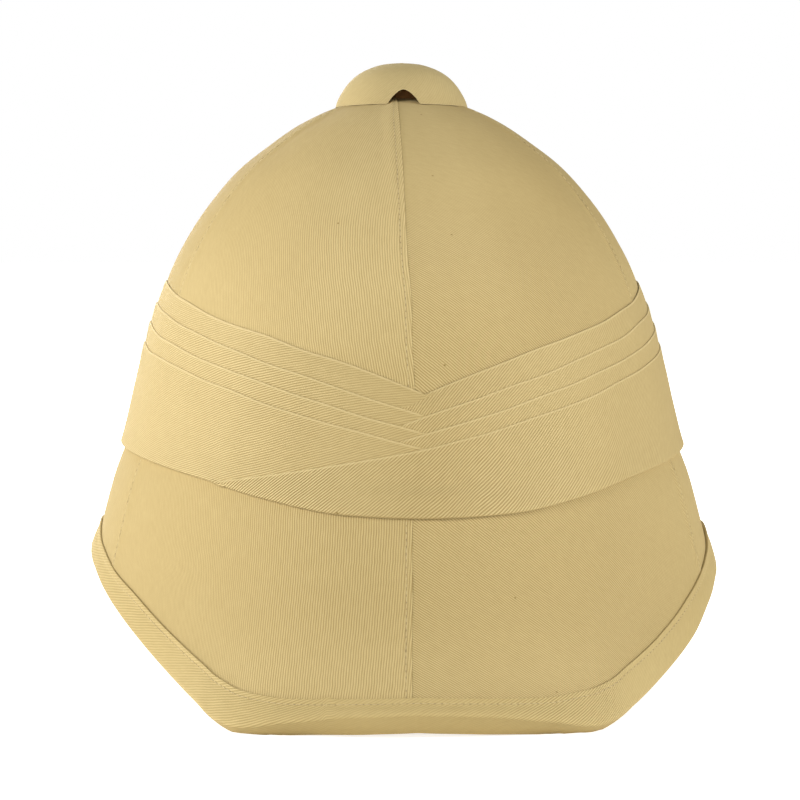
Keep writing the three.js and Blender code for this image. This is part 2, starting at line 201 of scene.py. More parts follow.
SECTIONS = (
    Section(1.0, 0.0, 0.0, 0.0),
    Section(0.994, 0.11, 0.088, 0.088),
    Section(0.979, 0.22, 0.177, 0.177),
    Section(0.952, 0.328, 0.27, 0.267),
    Section(0.913, 0.437, 0.363, 0.36),
    Section(0.872, 0.531, 0.439, 0.436),
    Section(0.818, 0.619, 0.512, 0.509),
    Section(0.764, 0.687, 0.57, 0.564),
    Section(0.71, 0.74, 0.613, 0.608),
    Section(0.627, 0.795, 0.66, 0.654),
    Section(0.52, 0.842, 0.704, 0.698),
    Section(0.424, 0.884, 0.741, 0.738),
    Section(0.358, 0.928, 0.779, 0.779),
    Section(0.275, 0.97, 0.826, 0.829),
    Section(0.221, 0.996, 0.858, 0.863),
    Section(0.118, 1.051, 0.933, 0.942),
    Section(0.014, 1.114, 1.035, 1.041),
)

RIM = (
    RimPoint(0, 0.186, 0.186, 0.48, 0.48),
    RimPoint(10, 0.169, 0.169, 0.51, 0.51),
    RimPoint(20, 0.123, 0.122, 0.66, 0.66),
    RimPoint(28, 0.079, 0.074, 0.99, 0.99),
    RimPoint(32, 0.115, 0.103, 1.08, 1.03),
    RimPoint(36, 0.21, 0.175, 1.03, 1.02),
    RimPoint(45, 0.407, 0.341, 0.95, 0.96),
    RimPoint(55, 0.599, 0.513, 0.89, 0.96),
    RimPoint(65, 0.76, 0.692, 0.74, 0.82),
    RimPoint(75, 0.893, 0.822, 0.71, 0.8),
    RimPoint(90, 0.995, 0.94, 0.92, 0.95),
    RimPoint(110, 0.922, 0.9, 0.92, 0.92),
    RimPoint(130, 0.67, 0.66, 0.92, 0.92),
    RimPoint(150, 0.313, 0.313, 0.92, 0.92),
    RimPoint(165, 0.15, 0.15, 0.92, 0.92),
    RimPoint(180, 0.12, 0.12, 0.92, 0.92),
)

FOLD_EDGES = (
    FoldPoint(-45, (0.36, 0.36, 0.36, 0.372), 0.379),
    FoldPoint(-30, (0.4, 0.395, 0.392, 0.39), 0.354),
    FoldPoint(-15, (0.455, 0.438, 0.422, 0.411), 0.334),
    FoldPoint(0, (0.519, 0.485, 0.458, 0.434), 0.329),
    FoldPoint(15, (0.563, 0.522, 0.491, 0.465), 0.334),
    FoldPoint(30, (0.597, 0.557, 0.525, 0.495), 0.354),
    FoldPoint(45, (0.625, 0.588, 0.555, 0.526), 0.379),
    FoldPoint(60, (0.651, 0.616, 0.581, 0.552), 0.395),
    FoldPoint(75, (0.675, 0.638, 0.603, 0.571), 0.407),
    FoldPoint(90, (0.689, 0.652, 0.619, 0.584), 0.414),
    FoldPoint(105, (0.675, 0.638, 0.603, 0.571), 0.407),
)
FOLD_COUNT = 4


@dataclass(frozen=True)
class LeanPoint:
    """How far the back seam leans to the wearer's left at a height, both in millimetres."""

    height: float
    lean: float


BACK_SEAM = (
    LeanPoint(0, 2.0),
    LeanPoint(22, 1.8),
    LeanPoint(51, 1.1),
    LeanPoint(76, 0.75),
    LeanPoint(100, 0.0),
    LeanPoint(129, -0.7),
    LeanPoint(136, -0.4),
    LeanPoint(145, 0.0),
    LeanPoint(159, 0.0),
    LeanPoint(171, 0.8),
    LeanPoint(183, 1.5),
    LeanPoint(208, 1.95),
    LeanPoint(234, 2.4),
    LeanPoint(242, 2.4),
)


@dataclass
class HatForm:
    """The outer cloth's shape, the same as the frame's, and how far layers lie from it."""

    crown_height: float = 241.4 * MM
    half_width: float = 127 * MM
    back_reach: float = 172 * MM
    front_reach: float = 172 * MM
    side_rise: float = 57.5 * MM
    binding_rise_outside: float = 13 * MM
    binding_rise_inside: float = 14 * MM
    cloth: float = 1.2 * MM
    pith: float = 8 * MM
    clearance: float = 0.35 * MM
    vent_radius: float = 11 * MM
    cap_radius: float = 27.2 * MM
    cap_height: float = 18.6 * MM
    fine_rows: int = 8001
    top_level: float = 1e-6
    crown_level: float = 10.0

    def __post_init__(self) -> None:
        """Fit the curves and find where the frame stands."""
        levels = range(len(SECTIONS))
        self.height = SmoothCurve(levels, [s.height * self.crown_height for s in SECTIONS])
        self.width = SmoothCurve(levels, [s.width * self.half_width for s in SECTIONS])
        self.back = SmoothCurve(levels, [s.back * self.back_reach for s in SECTIONS])
        self.front = SmoothCurve(levels, [s.front * self.front_reach for s in SECTIONS])
        self.rim_left = curve_of(RIM, "turn", "left", self.side_rise)
        self.rim_right = curve_of(RIM, "turn", "right", self.side_rise)
        self.rise_left = curve_of(RIM, "turn", "binding_left", self.binding_rise_outside)
        self.rise_right = curve_of(RIM, "turn", "binding_right", self.binding_rise_outside)
        self.seam_lean = SmoothCurve([p.height * MM for p in BACK_SEAM], [p.lean * MM for p in BACK_SEAM])
        self.all_levels = np.linspace(0.0, len(SECTIONS) - 1.0, self.fine_rows)
        self.all_heights = self.height(self.all_levels)
        self.vent_level = float(np.interp(self.vent_radius, self.width(self.all_levels), self.all_levels))
        self.shift = np.zeros(3)
        low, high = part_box("vent_cap")
        cap_top = self.crown_at(self.cap_radius, 0.0) + self.cap_height
        self.shift = np.array([(low[0] + high[0]) / 2, (low[1] + high[1]) / 2, high[2] - cap_top])

    def level_at(self, height: Array) -> Array:
        """Return the level at a height above the form's own zero."""
        return np.interp(-np.asarray(height, dtype=float), -self.all_heights, self.all_levels)

    def crown_at(self, x: Array, y: Array) -> Array:
        """Find the crown's height over places near the top.

        Args:
            x: metres to the wearer's left of the crown's middle.
            y: metres behind the crown's middle.

        Returns:
            Heights above the form's own zero.
        """
        x, y = np.broadcast_arrays(np.asarray(x, dtype=float), np.asarray(y, dtype=float))
        low = np.full(x.shape, self.top_level)
        high = np.full(x.shape, self.crown_level)
        for _ in range(HALVINGS):
            middle = (low + high) / 2
            reach = np.where(y >= 0, self.back(middle), self.front(middle))
            inside = (x / self.width(middle)) ** 2 + (y / reach) ** 2 <= 1.0
            high = np.where(inside, middle, high)
            low = np.where(inside, low, middle)
        return self.height((low + high) / 2)

    def point(self, turn: Array, level: Array) -> Array:
        """Return points of the outer cloth.

        Args:
            turn: degrees round the hat.
            level: row numbers in the table of sections.

        Returns:
            An array with the shape of the two, and a last axis of 3.
        """
        turn, level = np.broadcast_arrays(np.asarray(turn, dtype=float), np.asarray(level, dtype=float))
        angle = np.radians(turn)
        reach = np.where(np.cos(angle) >= 0, self.back(level), self.front(level))
        flat = np.stack([self.width(level) * np.sin(angle), reach * np.cos(angle), self.height(level)], -1)
        return flat + self.shift

    def down(self, turn: Array, level: Array) -> Array:
        """Return the unit direction down the cloth."""
        along = self.point(turn, level + LEVEL_STEP) - self.point(turn, level - LEVEL_STEP)
        return along / np.linalg.norm(along, axis=-1, keepdims=True)

    def normal(self, turn: Array, level: Array) -> Array:
        """Return the unit normals of the outer cloth.

        Args:
            turn: degrees round the hat.
            level: row numbers in the table of sections.

        Returns:
            Directions out of the cloth.
        """
        across = self.point(turn + TURN_STEP, level) - self.point(turn - TURN_STEP, level)
        out = np.cross(across, self.down(turn, level))
        return out / np.linalg.norm(out, axis=-1, keepdims=True)

    def layer(self, turn: Array, level: Array, offset: Array) -> Array:
        """Return points moved out from the cloth along its normal."""
        turn, level, offset = np.broadcast_arrays(turn, level, offset)
        return self.point(turn, level) + self.normal(turn, level) * offset[..., None]

    def rim_height(self, turn: Array) -> Array:
        """Return the height of the rim's edge at a turn."""
        around = np.mod(np.asarray(turn, dtype=float), 360.0)
        return np.where(around <= 180.0, self.rim_left(around), self.rim_right(360.0 - around))

    def binding_rise(self, turn: Array) -> Array:
        """Return how far the binding climbs the outside at a turn."""
        around = np.mod(np.asarray(turn, dtype=float), 360.0)
        return np.where(around <= 180.0, self.rise_left(around), self.rise_right(360.0 - around))

    def seam_turn(self, seam: float, level: Array) -> Array:
        """Find the true turn of a seam: only the back seam leans.

        Args:
            seam: the seam's turn in the plan of the panels.
            level: row numbers in the table of sections.

        Returns:
            The seam's turn at each level.
        """
        if seam % 360.0 != 0.0:
            return np.full(np.shape(level), seam)
        return seam + self.seam_lean(self.height(level)) / self.metric(seam, level)

    def metric(self, turn: Array, level: Array) -> Array:
        """Return metres of cloth for one degree of turn."""
        across = self.point(turn + METRIC_STEP, level) - self.point(turn - METRIC_STEP, level)
        return np.linalg.norm(across, axis=-1) / (2 * METRIC_STEP)


@dataclass
class Sections:
    """Closed sections of a body that follow each other, with their place on the cloth."""

    points: Array
    uv: Array
    closed_around: bool
    nap: Optional[Array] = None
    # painted light and shade of each point: above 0 a painted highlight, below 0 painted shade
    rub: Optional[Array] = None


def body_mesh(name: str, sections: Sections, sharp_deg: float = 42.0) -> bpy.types.Object:
    """Build one closed mesh from sections.

    Args:
        name: the new object's name.
        sections: points (J, K, 3) and uv (J + 1 or J, K + 1, 2). Each section is a closed loop.
        sharp_deg: edges sharper than this are shaded as creases.

    Returns:
        The new object, linked to the scene.
    """
    count, size = sections.points.shape[:2]
    vertices = sections.points.reshape(-1, 3)
    spans = count if sections.closed_around else count - 1
    j, k = np.meshgrid(np.arange(spans), np.arange(size), indexing="ij")
    j, k = j.ravel(), k.ravel()
    j1, k1 = (j + 1) % count, (k + 1) % size
    quads = np.stack([j * size + k, j1 * size + k, j1 * size + k1, j * size + k1], -1)
    uv_quads = np.stack(
        [sections.uv[j, k], sections.uv[j + 1, k], sections.uv[j + 1, k + 1], sections.uv[j, k + 1]], 1
    )
    faces = [tuple(q) for q in quads.tolist()]
    loops = [uv_quads.reshape(-1, 2)]
    if not sections.closed_around:
        half = size // 2
        for end, flip in ((0, False), (count - 1, True)):
            for r in range(half - 1):
                ring = [r, r + 1, size - 2 - r, size - 1 - r]
                ring = ring[::-1] if flip else ring
                faces.append(tuple(end * size + v for v in ring))
                loops.append(sections.uv[end, ring])
    mesh = bpy.data.meshes.new(name)
    mesh.from_pydata(vertices.tolist(), [], faces)
    layer = mesh.uv_layers.new(name="cloth")
    layer.data.foreach_set("uv", np.concatenate(loops).astype(np.float32).ravel())
    nap = np.ones(count * size) if sections.nap is None else sections.nap
    rub = np.zeros(count * size) if sections.rub is None else sections.rub
    for key, values in (("nap", nap), ("rub", rub)):
        attribute = mesh.attributes.new(key, "FLOAT", "POINT")
        attribute.data.foreach_set("value", values.astype(np.float32).ravel())
    mesh.validate()
    mesh.shade_smooth()
    mesh.set_sharp_from_angle(angle=math.radians(sharp_deg))
    piece = bpy.data.objects.new(name, mesh)
    bpy.context.scene.collection.objects.link(piece)
    return piece


def path_length(points: Array, axis: int) -> Array:
    """Return the length along one axis of a grid of points, starting at 0."""
    step = np.linalg.norm(np.diff(points, axis=axis), axis=-1)
    start = np.zeros_like(np.take(step, [0], axis=axis))
    return np.concatenate([start, np.cumsum(step, axis=axis)], axis=axis)


def side_by_side(rows: Sequence[tuple], shape: tuple[int, ...]) -> list[Array]:
    """Return a grid for each part of the rows, with a column for each row."""
    return [np.concatenate([np.broadcast_to(p, shape) for p in parts], 1) for parts in zip(*rows)]


@dataclass(frozen=True)
class FlatCut:
    """The flat size that a piece of cloth was cut to."""

    width: float
    length: float
    area: float

    @classmethod
    def of(cls, face: Array) -> "FlatCut":
        """Measure the flat size of a grid of points on a piece's outer face.

        Args:
            face: points (along, down, 3).

        Returns:
            Width down the grid, length along it and its area.
        """
        one = face[1:, 1:] - face[:-1, :-1]
        other = face[1:, :-1] - face[:-1, 1:]
        area = 0.5 * np.linalg.norm(np.cross(one, other), axis=-1).sum()
        along = path_length(face, 0)[-1].max()
        down = path_length(face, 1)[:, -1].max()
        return cls(round(float(down), 3), round(float(along), 3), round(float(area), 5))

    def declare(self, piece: bpy.types.Object, held: str) -> None:
        """Report a piece's cut size and how the shell holds it.

        Args:
            piece: the object.
            held: how the shell holds it.
        """
        LOG.info("%s: cut %.3f x %.3f m, %.5f m2, %s", piece.name, self.width, self.length, self.area, held)


def twill_uv(right: Array, down: Array, angle_deg: Array, mean_deg: float) -> Array:
    """Lay a twill's lines on a surface.

    Args:
        right: distance to the right, as seen from outside.
        down: distance down.
        angle_deg: the lines' rise to the right at each row of down, in degrees.
        mean_deg: a usual value of that angle, which sets the pitch.

    Returns:
        uv with u across the lines and v along them, in metres.
    """
    lean = 1.0 / np.tan(np.radians(np.clip(angle_deg, FLATTEST, 180.0 - FLATTEST)))
    step = np.diff(down, axis=-1)
    middle = (lean[..., 1:] + lean[..., :-1]) / 2
    drift = np.concatenate([np.zeros_like(down[..., :1]), np.cumsum(middle * step, axis=-1)], axis=-1)
    mean = math.radians(mean_deg)
    across = math.sin(mean) * (right + drift)
    along = math.cos(mean) * right - math.sin(mean) * down
    return np.stack([across, along], -1)


class Nodes:
    """Short calls to build a node tree."""

    def __init__(self, tree: bpy.types.NodeTree) -> None:
        """Hold the tree and clear it."""
        self.tree = tree
        tree.nodes.clear()

    @classmethod
    def of_group(cls, name: str, numbers: dict[str, float], results: Sequence[str]) -> "Nodes":
        """Start a shader group that reads a vector and some numbers.

        Args:
            name: the group's name.
            numbers: the default of each number that it takes.
            results: names of the numbers that it puts out.

        Returns:
            The group's nodes.
        """
        tree = bpy.data.node_groups.new(name, "ShaderNodeTree")
        tree.interface.new_socket("Vector", in_out="INPUT", socket_type="NodeSocketVector")
        for key, value in numbers.items():
            socket = tree.interface.new_socket(key, in_out="INPUT", socket_type="NodeSocketFloat")
            socket.default_value = value
        for key in results:
            tree.interface.new_socket(key, in_out="OUTPUT", socket_type="NodeSocketFloat")
        return cls(tree)

    def add(self, kind: str, **values: object) -> bpy.types.Node:
        """Add a node and set its properties.

        Args:
            kind: the node's type name.
            values: properties of the node.

        Returns:
            The new node.
        """
        node = self.tree.nodes.new(kind)
        for key, value in values.items():
            setattr(node, key, value)
        return node

    def feed(self, node: bpy.types.Node, socket: object, source: object) -> None:
        """Set an input from a value or link it from an output.

        Args:
            node: the node that is fed.
            socket: the input's name or number.
            source: a value, or the output of another node.
        """
        target = node.inputs[socket]
        if isinstance(source, bpy.types.NodeSocket):
            self.tree.links.new(source, target)
        else:
            target.default_value = source

    def fed(self, kind: str, inputs: dict[object, object], **values: object) -> bpy.types.Node:
        """Add a node and feed its inputs.

        Args:
            kind: the node's type name.
            inputs: a value or an output for each input, by name or number.
            values: properties of the node.

        Returns:
            The new node.
        """
        node = self.add(kind, **values)
        for socket, source in inputs.items():
            self.feed(node, socket, source)
        return node

    def math(self, operation: str, *sources: object, clamp: bool = False) -> bpy.types.NodeSocket:
        """Add a Math node and return its output."""
        node = self.fed("ShaderNodeMath", dict(enumerate(sources)), operation=operation, use_clamp=clamp)
        return node.outputs[0]

    def noise(
        self, vector: object, scale: object, detail: float = 2.0, rough: float = 0.5
    ) -> bpy.types.NodeSocket:
        """Add a Noise Texture and return its factor."""
        inputs = {"Vector": vector, "Scale": scale, "Detail": detail, "Roughness": rough}
        return self.fed("ShaderNodeTexNoise", inputs).outputs["Fac"]

    def range(
        self, value: object, low: float, high: float, to_low: float, to_high: float
    ) -> bpy.types.NodeSocket:
        """Add a Map Range and return its result."""
        inputs = {"Value": value, "From Min": low, "From Max": high, "To Min": to_low, "To Max": to_high}
        return self.fed("ShaderNodeMapRange", inputs).outputs["Result"]

    def mix(self, factor: object, first: object, second: object, blend: str = "MIX") -> bpy.types.NodeSocket:
        """Add a colour Mix and return its result."""
        inputs = {0: factor, 6: first, 7: second}
        return self.fed("ShaderNodeMix", inputs, data_type="RGBA", blend_type=blend).outputs[2]

    def mix_value(self, factor: object, first: object, second: object) -> bpy.types.NodeSocket:
        """Add a number Mix, which may go past its two ends, and return its result."""
        inputs = {0: factor, 2: first, 3: second}
        return self.fed("ShaderNodeMix", inputs, data_type="FLOAT", clamp_factor=False).outputs[0]

    def group(self, tree: bpy.types.NodeTree, inputs: dict[object, object]) -> bpy.types.Node:
        """Place a shader group and feed its inputs by name."""
        return self.fed("ShaderNodeGroup", inputs, node_tree=tree)

    def surface(self, looks: dict[object, object], height: object = None, relief: float = 0.0) -> None:
        """Add the Principled shader and the material's output.

        Args:
            looks: the shader's inputs by name.
            height: what the bump reads, or None for none.
            relief: metres of relief at a height of 1.
        """
        shader = self.fed("ShaderNodeBsdfPrincipled", looks)
        if height is not None:
            bump = self.fed("ShaderNodeBump", {"Height": height, "Distance": relief, "Strength": 1.0})
            self.feed(shader, "Normal", bump.outputs["Normal"])
        self.fed("ShaderNodeOutputMaterial", {"Surface": shader.outputs["BSDF"]})


def new_material(name: str) -> tuple[bpy.types.Material, Nodes]:
    """Make an empty material.

    Args:
        name: the material's name.

    Returns:
        The material and its nodes.
    """
    material = bpy.data.materials.new(name)
    material.use_nodes = True
    return material, Nodes(material.node_tree)


@dataclass(frozen=True)
class TwillWeave:
    """The weave that every twill finish shares: ridges in lines, each a row of short floats.

    wander is how far a ridge strays, as a share of the pitch, mean_groove the weave's mean depth,
    and the light gain how much lighter a painted light of 1 makes the cloth, a painted highlight,
    while below 0 it paints shade. Flecks are bits of seed left in the cotton.
    """

    wander_scale: float = 140.0
    wander: float = 0.22
    ridge_power: float = 0.7
    float_shift: float = 0.37
    float_dip: float = 0.82
    fibre_stretch: tuple[float, float, float] = (1.0, 0.22, 1.0)
    slub_scale: float = 900.0
    slub_detail: float = 3.0
    slub_rough: float = 0.65
    slub_low: float = 0.25
    slub_high: float = 0.75
    mean_groove: float = 0.47
    light_gain: float = 0.16
    fleck_scale: float = 13.0
    fleck_core: float = 0.003
    fleck_rim: float = 0.007
    fleck_shade: float = 0.55

    def build(self) -> bpy.types.NodeTree:
        """Build the shader group.

        Returns:
            A group with a height and a shade, which is 1 on a ridge and lower in a groove.
        """
        sizes = {"Pitch": 0.93 * MM, "Float Length": 0.7 * MM, "Groove": 0.3, "Slub": 0.04}
        n = Nodes.of_group("twill_weave", {**sizes, "Nap": 1.0, "Rub": 0.0}, ("Height", "Shade"))
        given = n.add("NodeGroupInput").outputs
        split = n.fed("ShaderNodeSeparateXYZ", {"Vector": given["Vector"]}).outputs
        wander = n.noise(given["Vector"], self.wander_scale)
        across = n.math("DIVIDE", split["X"], given["Pitch"])
        across = n.math("ADD", across, n.range(wander, 0.0, 1.0, -self.wander, self.wander))
        wave = n.math("COSINE", n.math("MULTIPLY", across, 2 * math.pi))
        ridge = n.math("POWER", n.range(wave, -1.0, 1.0, 1.0, 0.0), self.ridge_power)
        along = n.math("DIVIDE", split["Y"], given["Float Length"])
        along = n.math("ADD", along, n.math("MULTIPLY", n.math("FLOOR", across), self.float_shift))
        floats = n.math("COSINE", n.math("MULTIPLY", along, 2 * math.pi))
        height = n.math("MULTIPLY", ridge, n.range(floats, -1.0, 1.0, self.float_dip, 1.0))
        stretched = {0: given["Vector"], 1: self.fibre_stretch}
        fibre = n.fed("ShaderNodeVectorMath", stretched, operation="MULTIPLY").outputs[0]
        slub = n.noise(fibre, self.slub_scale, self.slub_detail, self.slub_rough)
        slub = n.math("MULTIPLY", n.range(slub, self.slub_low, self.slub_high, -1.0, 1.0), given["Slub"])
        # a nap below 1 evens the weave out to its own mean shade, and painted light lightens the cloth as a
        # painted highlight, or darkens it as painted shade below 0
        even = n.mix_value(given["Nap"], self.mean_groove, n.math("SUBTRACT", 1.0, height))
        dark = n.math("MULTIPLY", even, given["Groove"])
        shade = n.math("ADD", n.math("SUBTRACT", 1.0, dark), slub)
        shade = n.math("ADD", shade, n.math("MULTIPLY", given["Rub"], self.light_gain))
        scattered = {"Vector": given["Vector"], "Scale": self.fleck_scale}
        flecks = n.fed("ShaderNodeTexVoronoi", scattered, voronoi_dimensions="2D").outputs["Distance"]
        fleck = n.range(flecks, self.fleck_core, self.fleck_rim, self.fleck_shade, 1.0)
        height = n.math("MULTIPLY", height, given["Nap"])
        n.fed("NodeGroupOutput", {"Height": height, "Shade": n.math("MULTIPLY", shade, fleck)})
        return n.tree


@dataclass(frozen=True)
class ToneDrift:
    """The slow variation of tone over a piece that every finish shares."""

    detail: float = 3.0
    low: float = 0.2
    high: float = 0.8

    def build(self) -> bpy.types.NodeTree:
        """Build the shader group.

        Returns:
            A group with a factor near 1.
        """
        n = Nodes.of_group("tone_drift", {"Scale": 14.0, "Amount": 0.03}, ("Factor",))
        given = n.add("NodeGroupInput").outputs
        cloud = n.noise(given["Vector"], given["Scale"], self.detail)
        swing = n.math("MULTIPLY", n.range(cloud, self.low, self.high, -1.0, 1.0), given["Amount"])
        n.fed("NodeGroupOutput", {"Factor": n.math("ADD", 1.0, swing)})
        return n.tree


@dataclass(frozen=True)
class TwillFinish:
    """Khaki cotton twill.

    green_depth and blue_depth are how much faster than red they fall in a dark place, and drift
    is how much the tone varies.
    """

    name: str
    colour: tuple[float, float, float]
    pitch: float = 0.93 * MM
    groove: float = 0.3
    slub: float = 0.04
    relief: float = 0.12 * MM
    roughness: float = 0.82
    specular: float = 0.12
    sheen: float = 0.02
    sheen_roughness: float = 0.5
    drift_scale: float = 16.0
    drift: float = 0.025
    green_depth: float = 1.15
    blue_depth: float = 1.6

    def build(self, weave: bpy.types.NodeTree, drift: bpy.types.NodeTree) -> bpy.types.Material:
        """Make the material.

        Args:
            weave: the twill group.
            drift: the slow variation group.

        Returns:
            The material.
        """
        material, n = new_material(self.name)
        cloth = n.add("ShaderNodeUVMap", uv_map="cloth").outputs["UV"]
        place = n.add("ShaderNodeTexCoord").outputs["Object"]
        nap = n.add("ShaderNodeAttribute", attribute_name="nap").outputs["Fac"]
        # the painted light and shade that each piece carries
        rub = n.add("ShaderNodeAttribute", attribute_name="rub").outputs["Fac"]
        sizes = {"Pitch": self.pitch, "Groove": self.groove, "Slub": self.slub}
        twill = n.group(weave, {"Vector": cloth, "Nap": nap, "Rub": rub, **sizes}).outputs
        tone = n.group(drift, {"Vector": place, "Scale": self.drift_scale, "Amount": self.drift})
        shade = n.math("MULTIPLY", twill["Shade"], tone.outputs["Factor"])
        green = n.math("POWER", shade, self.green_depth)
        blue = n.math("POWER", shade, self.blue_depth)
        tint = n.fed("ShaderNodeCombineColor", {"Red": shade, "Green": green, "Blue": blue})
        looks = {
            "Base Color": n.mix(1.0, (*self.colour, 1.0), tint.outputs["Color"], "MULTIPLY"),
            "Roughness": self.roughness,
            "Specular IOR Level": self.specular,
            "Sheen Weight": self.sheen,
            "Sheen Roughness": self.sheen_roughness,
        }
        n.surface(looks, twill["Height"], self.relief)
        return material


@dataclass(frozen=True)
class PithFinish:
    """Dry, porous pith, pale brown with darker pores."""

    name: str
    light: tuple[float, float, float] = (0.6, 0.46, 0.27)
    dark: tuple[float, float, float] = (0.4, 0.28, 0.14)
    fibre_scale: float = 240.0
    pore_scale: float = 420.0
    pore_share: float = 0.4
    drift_scale: float = 22.0
    drift: float = 0.1
    relief: float = 0.4 * MM
    roughness: float = 0.92
    specular: float = 0.2

    def build(self, drift: bpy.types.NodeTree) -> bpy.types.Material:
        """Make the material.

        Args:
            drift: the slow variation group.

        Returns:
            The material.
        """
        material, n = new_material(self.name)
        place = n.add("ShaderNodeTexCoord").outputs["Object"]
        fibre = n.range(n.noise(place, self.fibre_scale, 5.0, 0.7), 0.3, 0.7, 0.35, 1.0)
        pores = n.fed("ShaderNodeTexVoronoi", {"Vector": place, "Scale": self.pore_scale})
        pore = n.range(pores.outputs["Distance"], 0.05, 0.45, 0.0, 1.0)
        porous = n.math("ADD", n.math("MULTIPLY", pore, self.pore_share), 1.0 - self.pore_share)
        tone = n.group(drift, {"Vector": place, "Scale": self.drift_scale, "Amount": self.drift})
        mask = n.math("MULTIPLY", n.math("MULTIPLY", fibre, porous), tone.outputs["Factor"], clamp=True)
        looks = {
            "Base Color": n.mix(mask, (*self.dark, 1.0), (*self.light, 1.0)),
            "Roughness": self.roughness,
            "Specular IOR Level": self.specular,
        }
        n.surface(looks, mask, self.relief)
        return material


@dataclass(frozen=True)
class ThreadFinish:
    """Twisted cotton sewing thread."""

    name: str
    colour: tuple[float, float, float] = (0.56, 0.44, 0.23)
    shadow: float = 0.45
    twist_scale: float = 900.0
    twist_low: float = 0.75
    drift_scale: float = 60.0
    drift: float = 0.08
    relief: float = 0.05 * MM
    roughness: float = 0.7

    def build(self, drift: bpy.types.NodeTree) -> bpy.types.Material:
        """Make the material.

        Args:
            drift: the slow variation group.

        Returns:
            The material.
        """
        material, n = new_material(self.name)
        place = n.add("ShaderNodeTexCoord").outputs["Object"]
        bands = {"wave_type": "BANDS", "bands_direction": "DIAGONAL"}
        waves = {"Vector": place, "Scale": self.twist_scale}
        twist = n.fed("ShaderNodeTexWave", waves, **bands).outputs["Fac"]
        tone = n.group(drift, {"Vector": place, "Scale": self.drift_scale, "Amount": self.drift})
        mask = n.math("MULTIPLY", n.range(twist, 0.0, 1.0, self.twist_low, 1.0), tone.outputs["Factor"])
        dark = tuple(c * self.shadow for c in self.colour)
        colour = n.mix(mask, (*dark, 1.0), (*self.colour, 1.0))
        n.surface({"Base Color": colour, "Roughness": self.roughness}, twist, self.relief)
        return material


@dataclass
class Wardrobe:
    """Every material, made once."""

    cover: TwillFinish = TwillFinish("cover_twill", (0.56, 0.435, 0.219), pitch=0.975 * MM, groove=0.46)
    wrap: TwillFinish = TwillFinish("wrap_twill", (0.56, 0.437, 0.224), groove=0.42)
    binding: TwillFinish = TwillFinish("binding_twill", (0.545, 0.422, 0.205), pitch=0.97 * MM, groove=0.32)
    # the cap's khaki is a darker copy of the cover's: painted shade for how the light falls on the cap
    cap: TwillFinish = TwillFinish("cap_twill", (0.455, 0.355, 0.175), groove=0.1, relief=0.05 * MM)
    pith: PithFinish = PithFinish("pith")
    # the ring's pith is painted darker and warmer than the shell's: painted shade and painted bounced light
    # inside the cap
    ring: PithFinish = PithFinish("vent_ring", light=(0.36, 0.17, 0.055), dark=(0.16, 0.07, 0.02))
    thread: ThreadFinish = ThreadFinish("thread")
    # dark dots for the needle holes: painted shade
    hole: ThreadFinish = ThreadFinish("needle_hole_shade", (0.33, 0.25, 0.12))
    made: dict[str, bpy.types.Material] = field(default_factory=dict)

    def __post_init__(self) -> None:
        """Build the shared groups and the materials."""
        weave, drift = TwillWeave().build(), ToneDrift().build()
        for finish in (self.cover, self.wrap, self.binding, self.cap):
            self.made[finish.name] = finish.build(weave, drift)
        for finish in (self.pith, self.ring, self.thread, self.hole):
            self.made[finish.name] = finish.build(drift)

    def dress(self, piece: bpy.types.Object, finish: str) -> None:
        """Give a piece its material.

        Args:
            piece: the object.
            finish: name of a material made here.
        """
        piece.data.materials.clear()
        piece.data.materials.append(self.made[finish])


def settle(piece: bpy.types.Object, *nodes: str) -> None:
    """Ride the hat's one body, stand for the given nodes and report the piece.

    Args:
        piece: the object.
        nodes: the frame's nodes that it stands for.
    """
    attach(piece, "root")
    if nodes:
        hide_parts(*nodes)
    LOG.info("%s: %d faces", piece.name, len(piece.data.polygons))


@dataclass
class PithBody:
    """The thick shell under the cloth, open below, with the ventilation hole at its top."""

    form: HatForm
    columns: int = 192
    rows: int = 72
    edge_inset: float = 2.4 * MM
    lowest: float = 0.8 * MM
    dent: float = 0.15 * MM
    dent_turns: float = 9.0
    dents_a_level: float = 2.0

    def build(self, wardrobe: Wardrobe) -> bpy.types.Object:
        """Build the shell.

        Args:
            wardrobe: the materials.

        Returns:
            The shell.
        """
        form = self.form
        turns = np.arange(self.columns) * 360.0 / self.columns
        edge = form.level_at(form.rim_height(turns) + self.edge_inset)
        share = np.linspace(0.0, 1.0, self.rows)
        levels = form.vent_level + (edge[:, None] - form.vent_level) * share
        outside = -(form.cloth + form.clearance)
        outer = form.layer(turns[:, None], levels, np.full(levels.shape, outside))
        dents = self.dent * ripple(turns[:, None] / self.dent_turns, levels * self.dents_a_level, 0.7)
        inner = form.layer(turns[:, None], levels, outside - form.pith + dents)
        points = np.concatenate([outer, inner[:, ::-1]], axis=1)
        points[..., 2] = np.maximum(points[..., 2], self.lowest)
        uv = np.zeros((self.columns + 1, points.shape[1] + 1, 2))
        piece = body_mesh("pith_body", Sections(points, uv, True))
        wardrobe.dress(piece, "pith")
        settle(piece, "pith_shell")
        return piece


@dataclass(frozen=True)
class Gore:
    """One panel of the cover, between two seams, and how its twill lies."""

    name: str
    node: str
    start: float
    end: float
    start_edge: SeamEdge
    end_edge: SeamEdge
    lean: SmoothCurve
    mean_lean: float
    top_fade: float = 0.25
    side_fade: float = 0.0
    # painted light on the panel's upper part, for how its twill lines catch the light from the left
    panel_light: float = 0.0


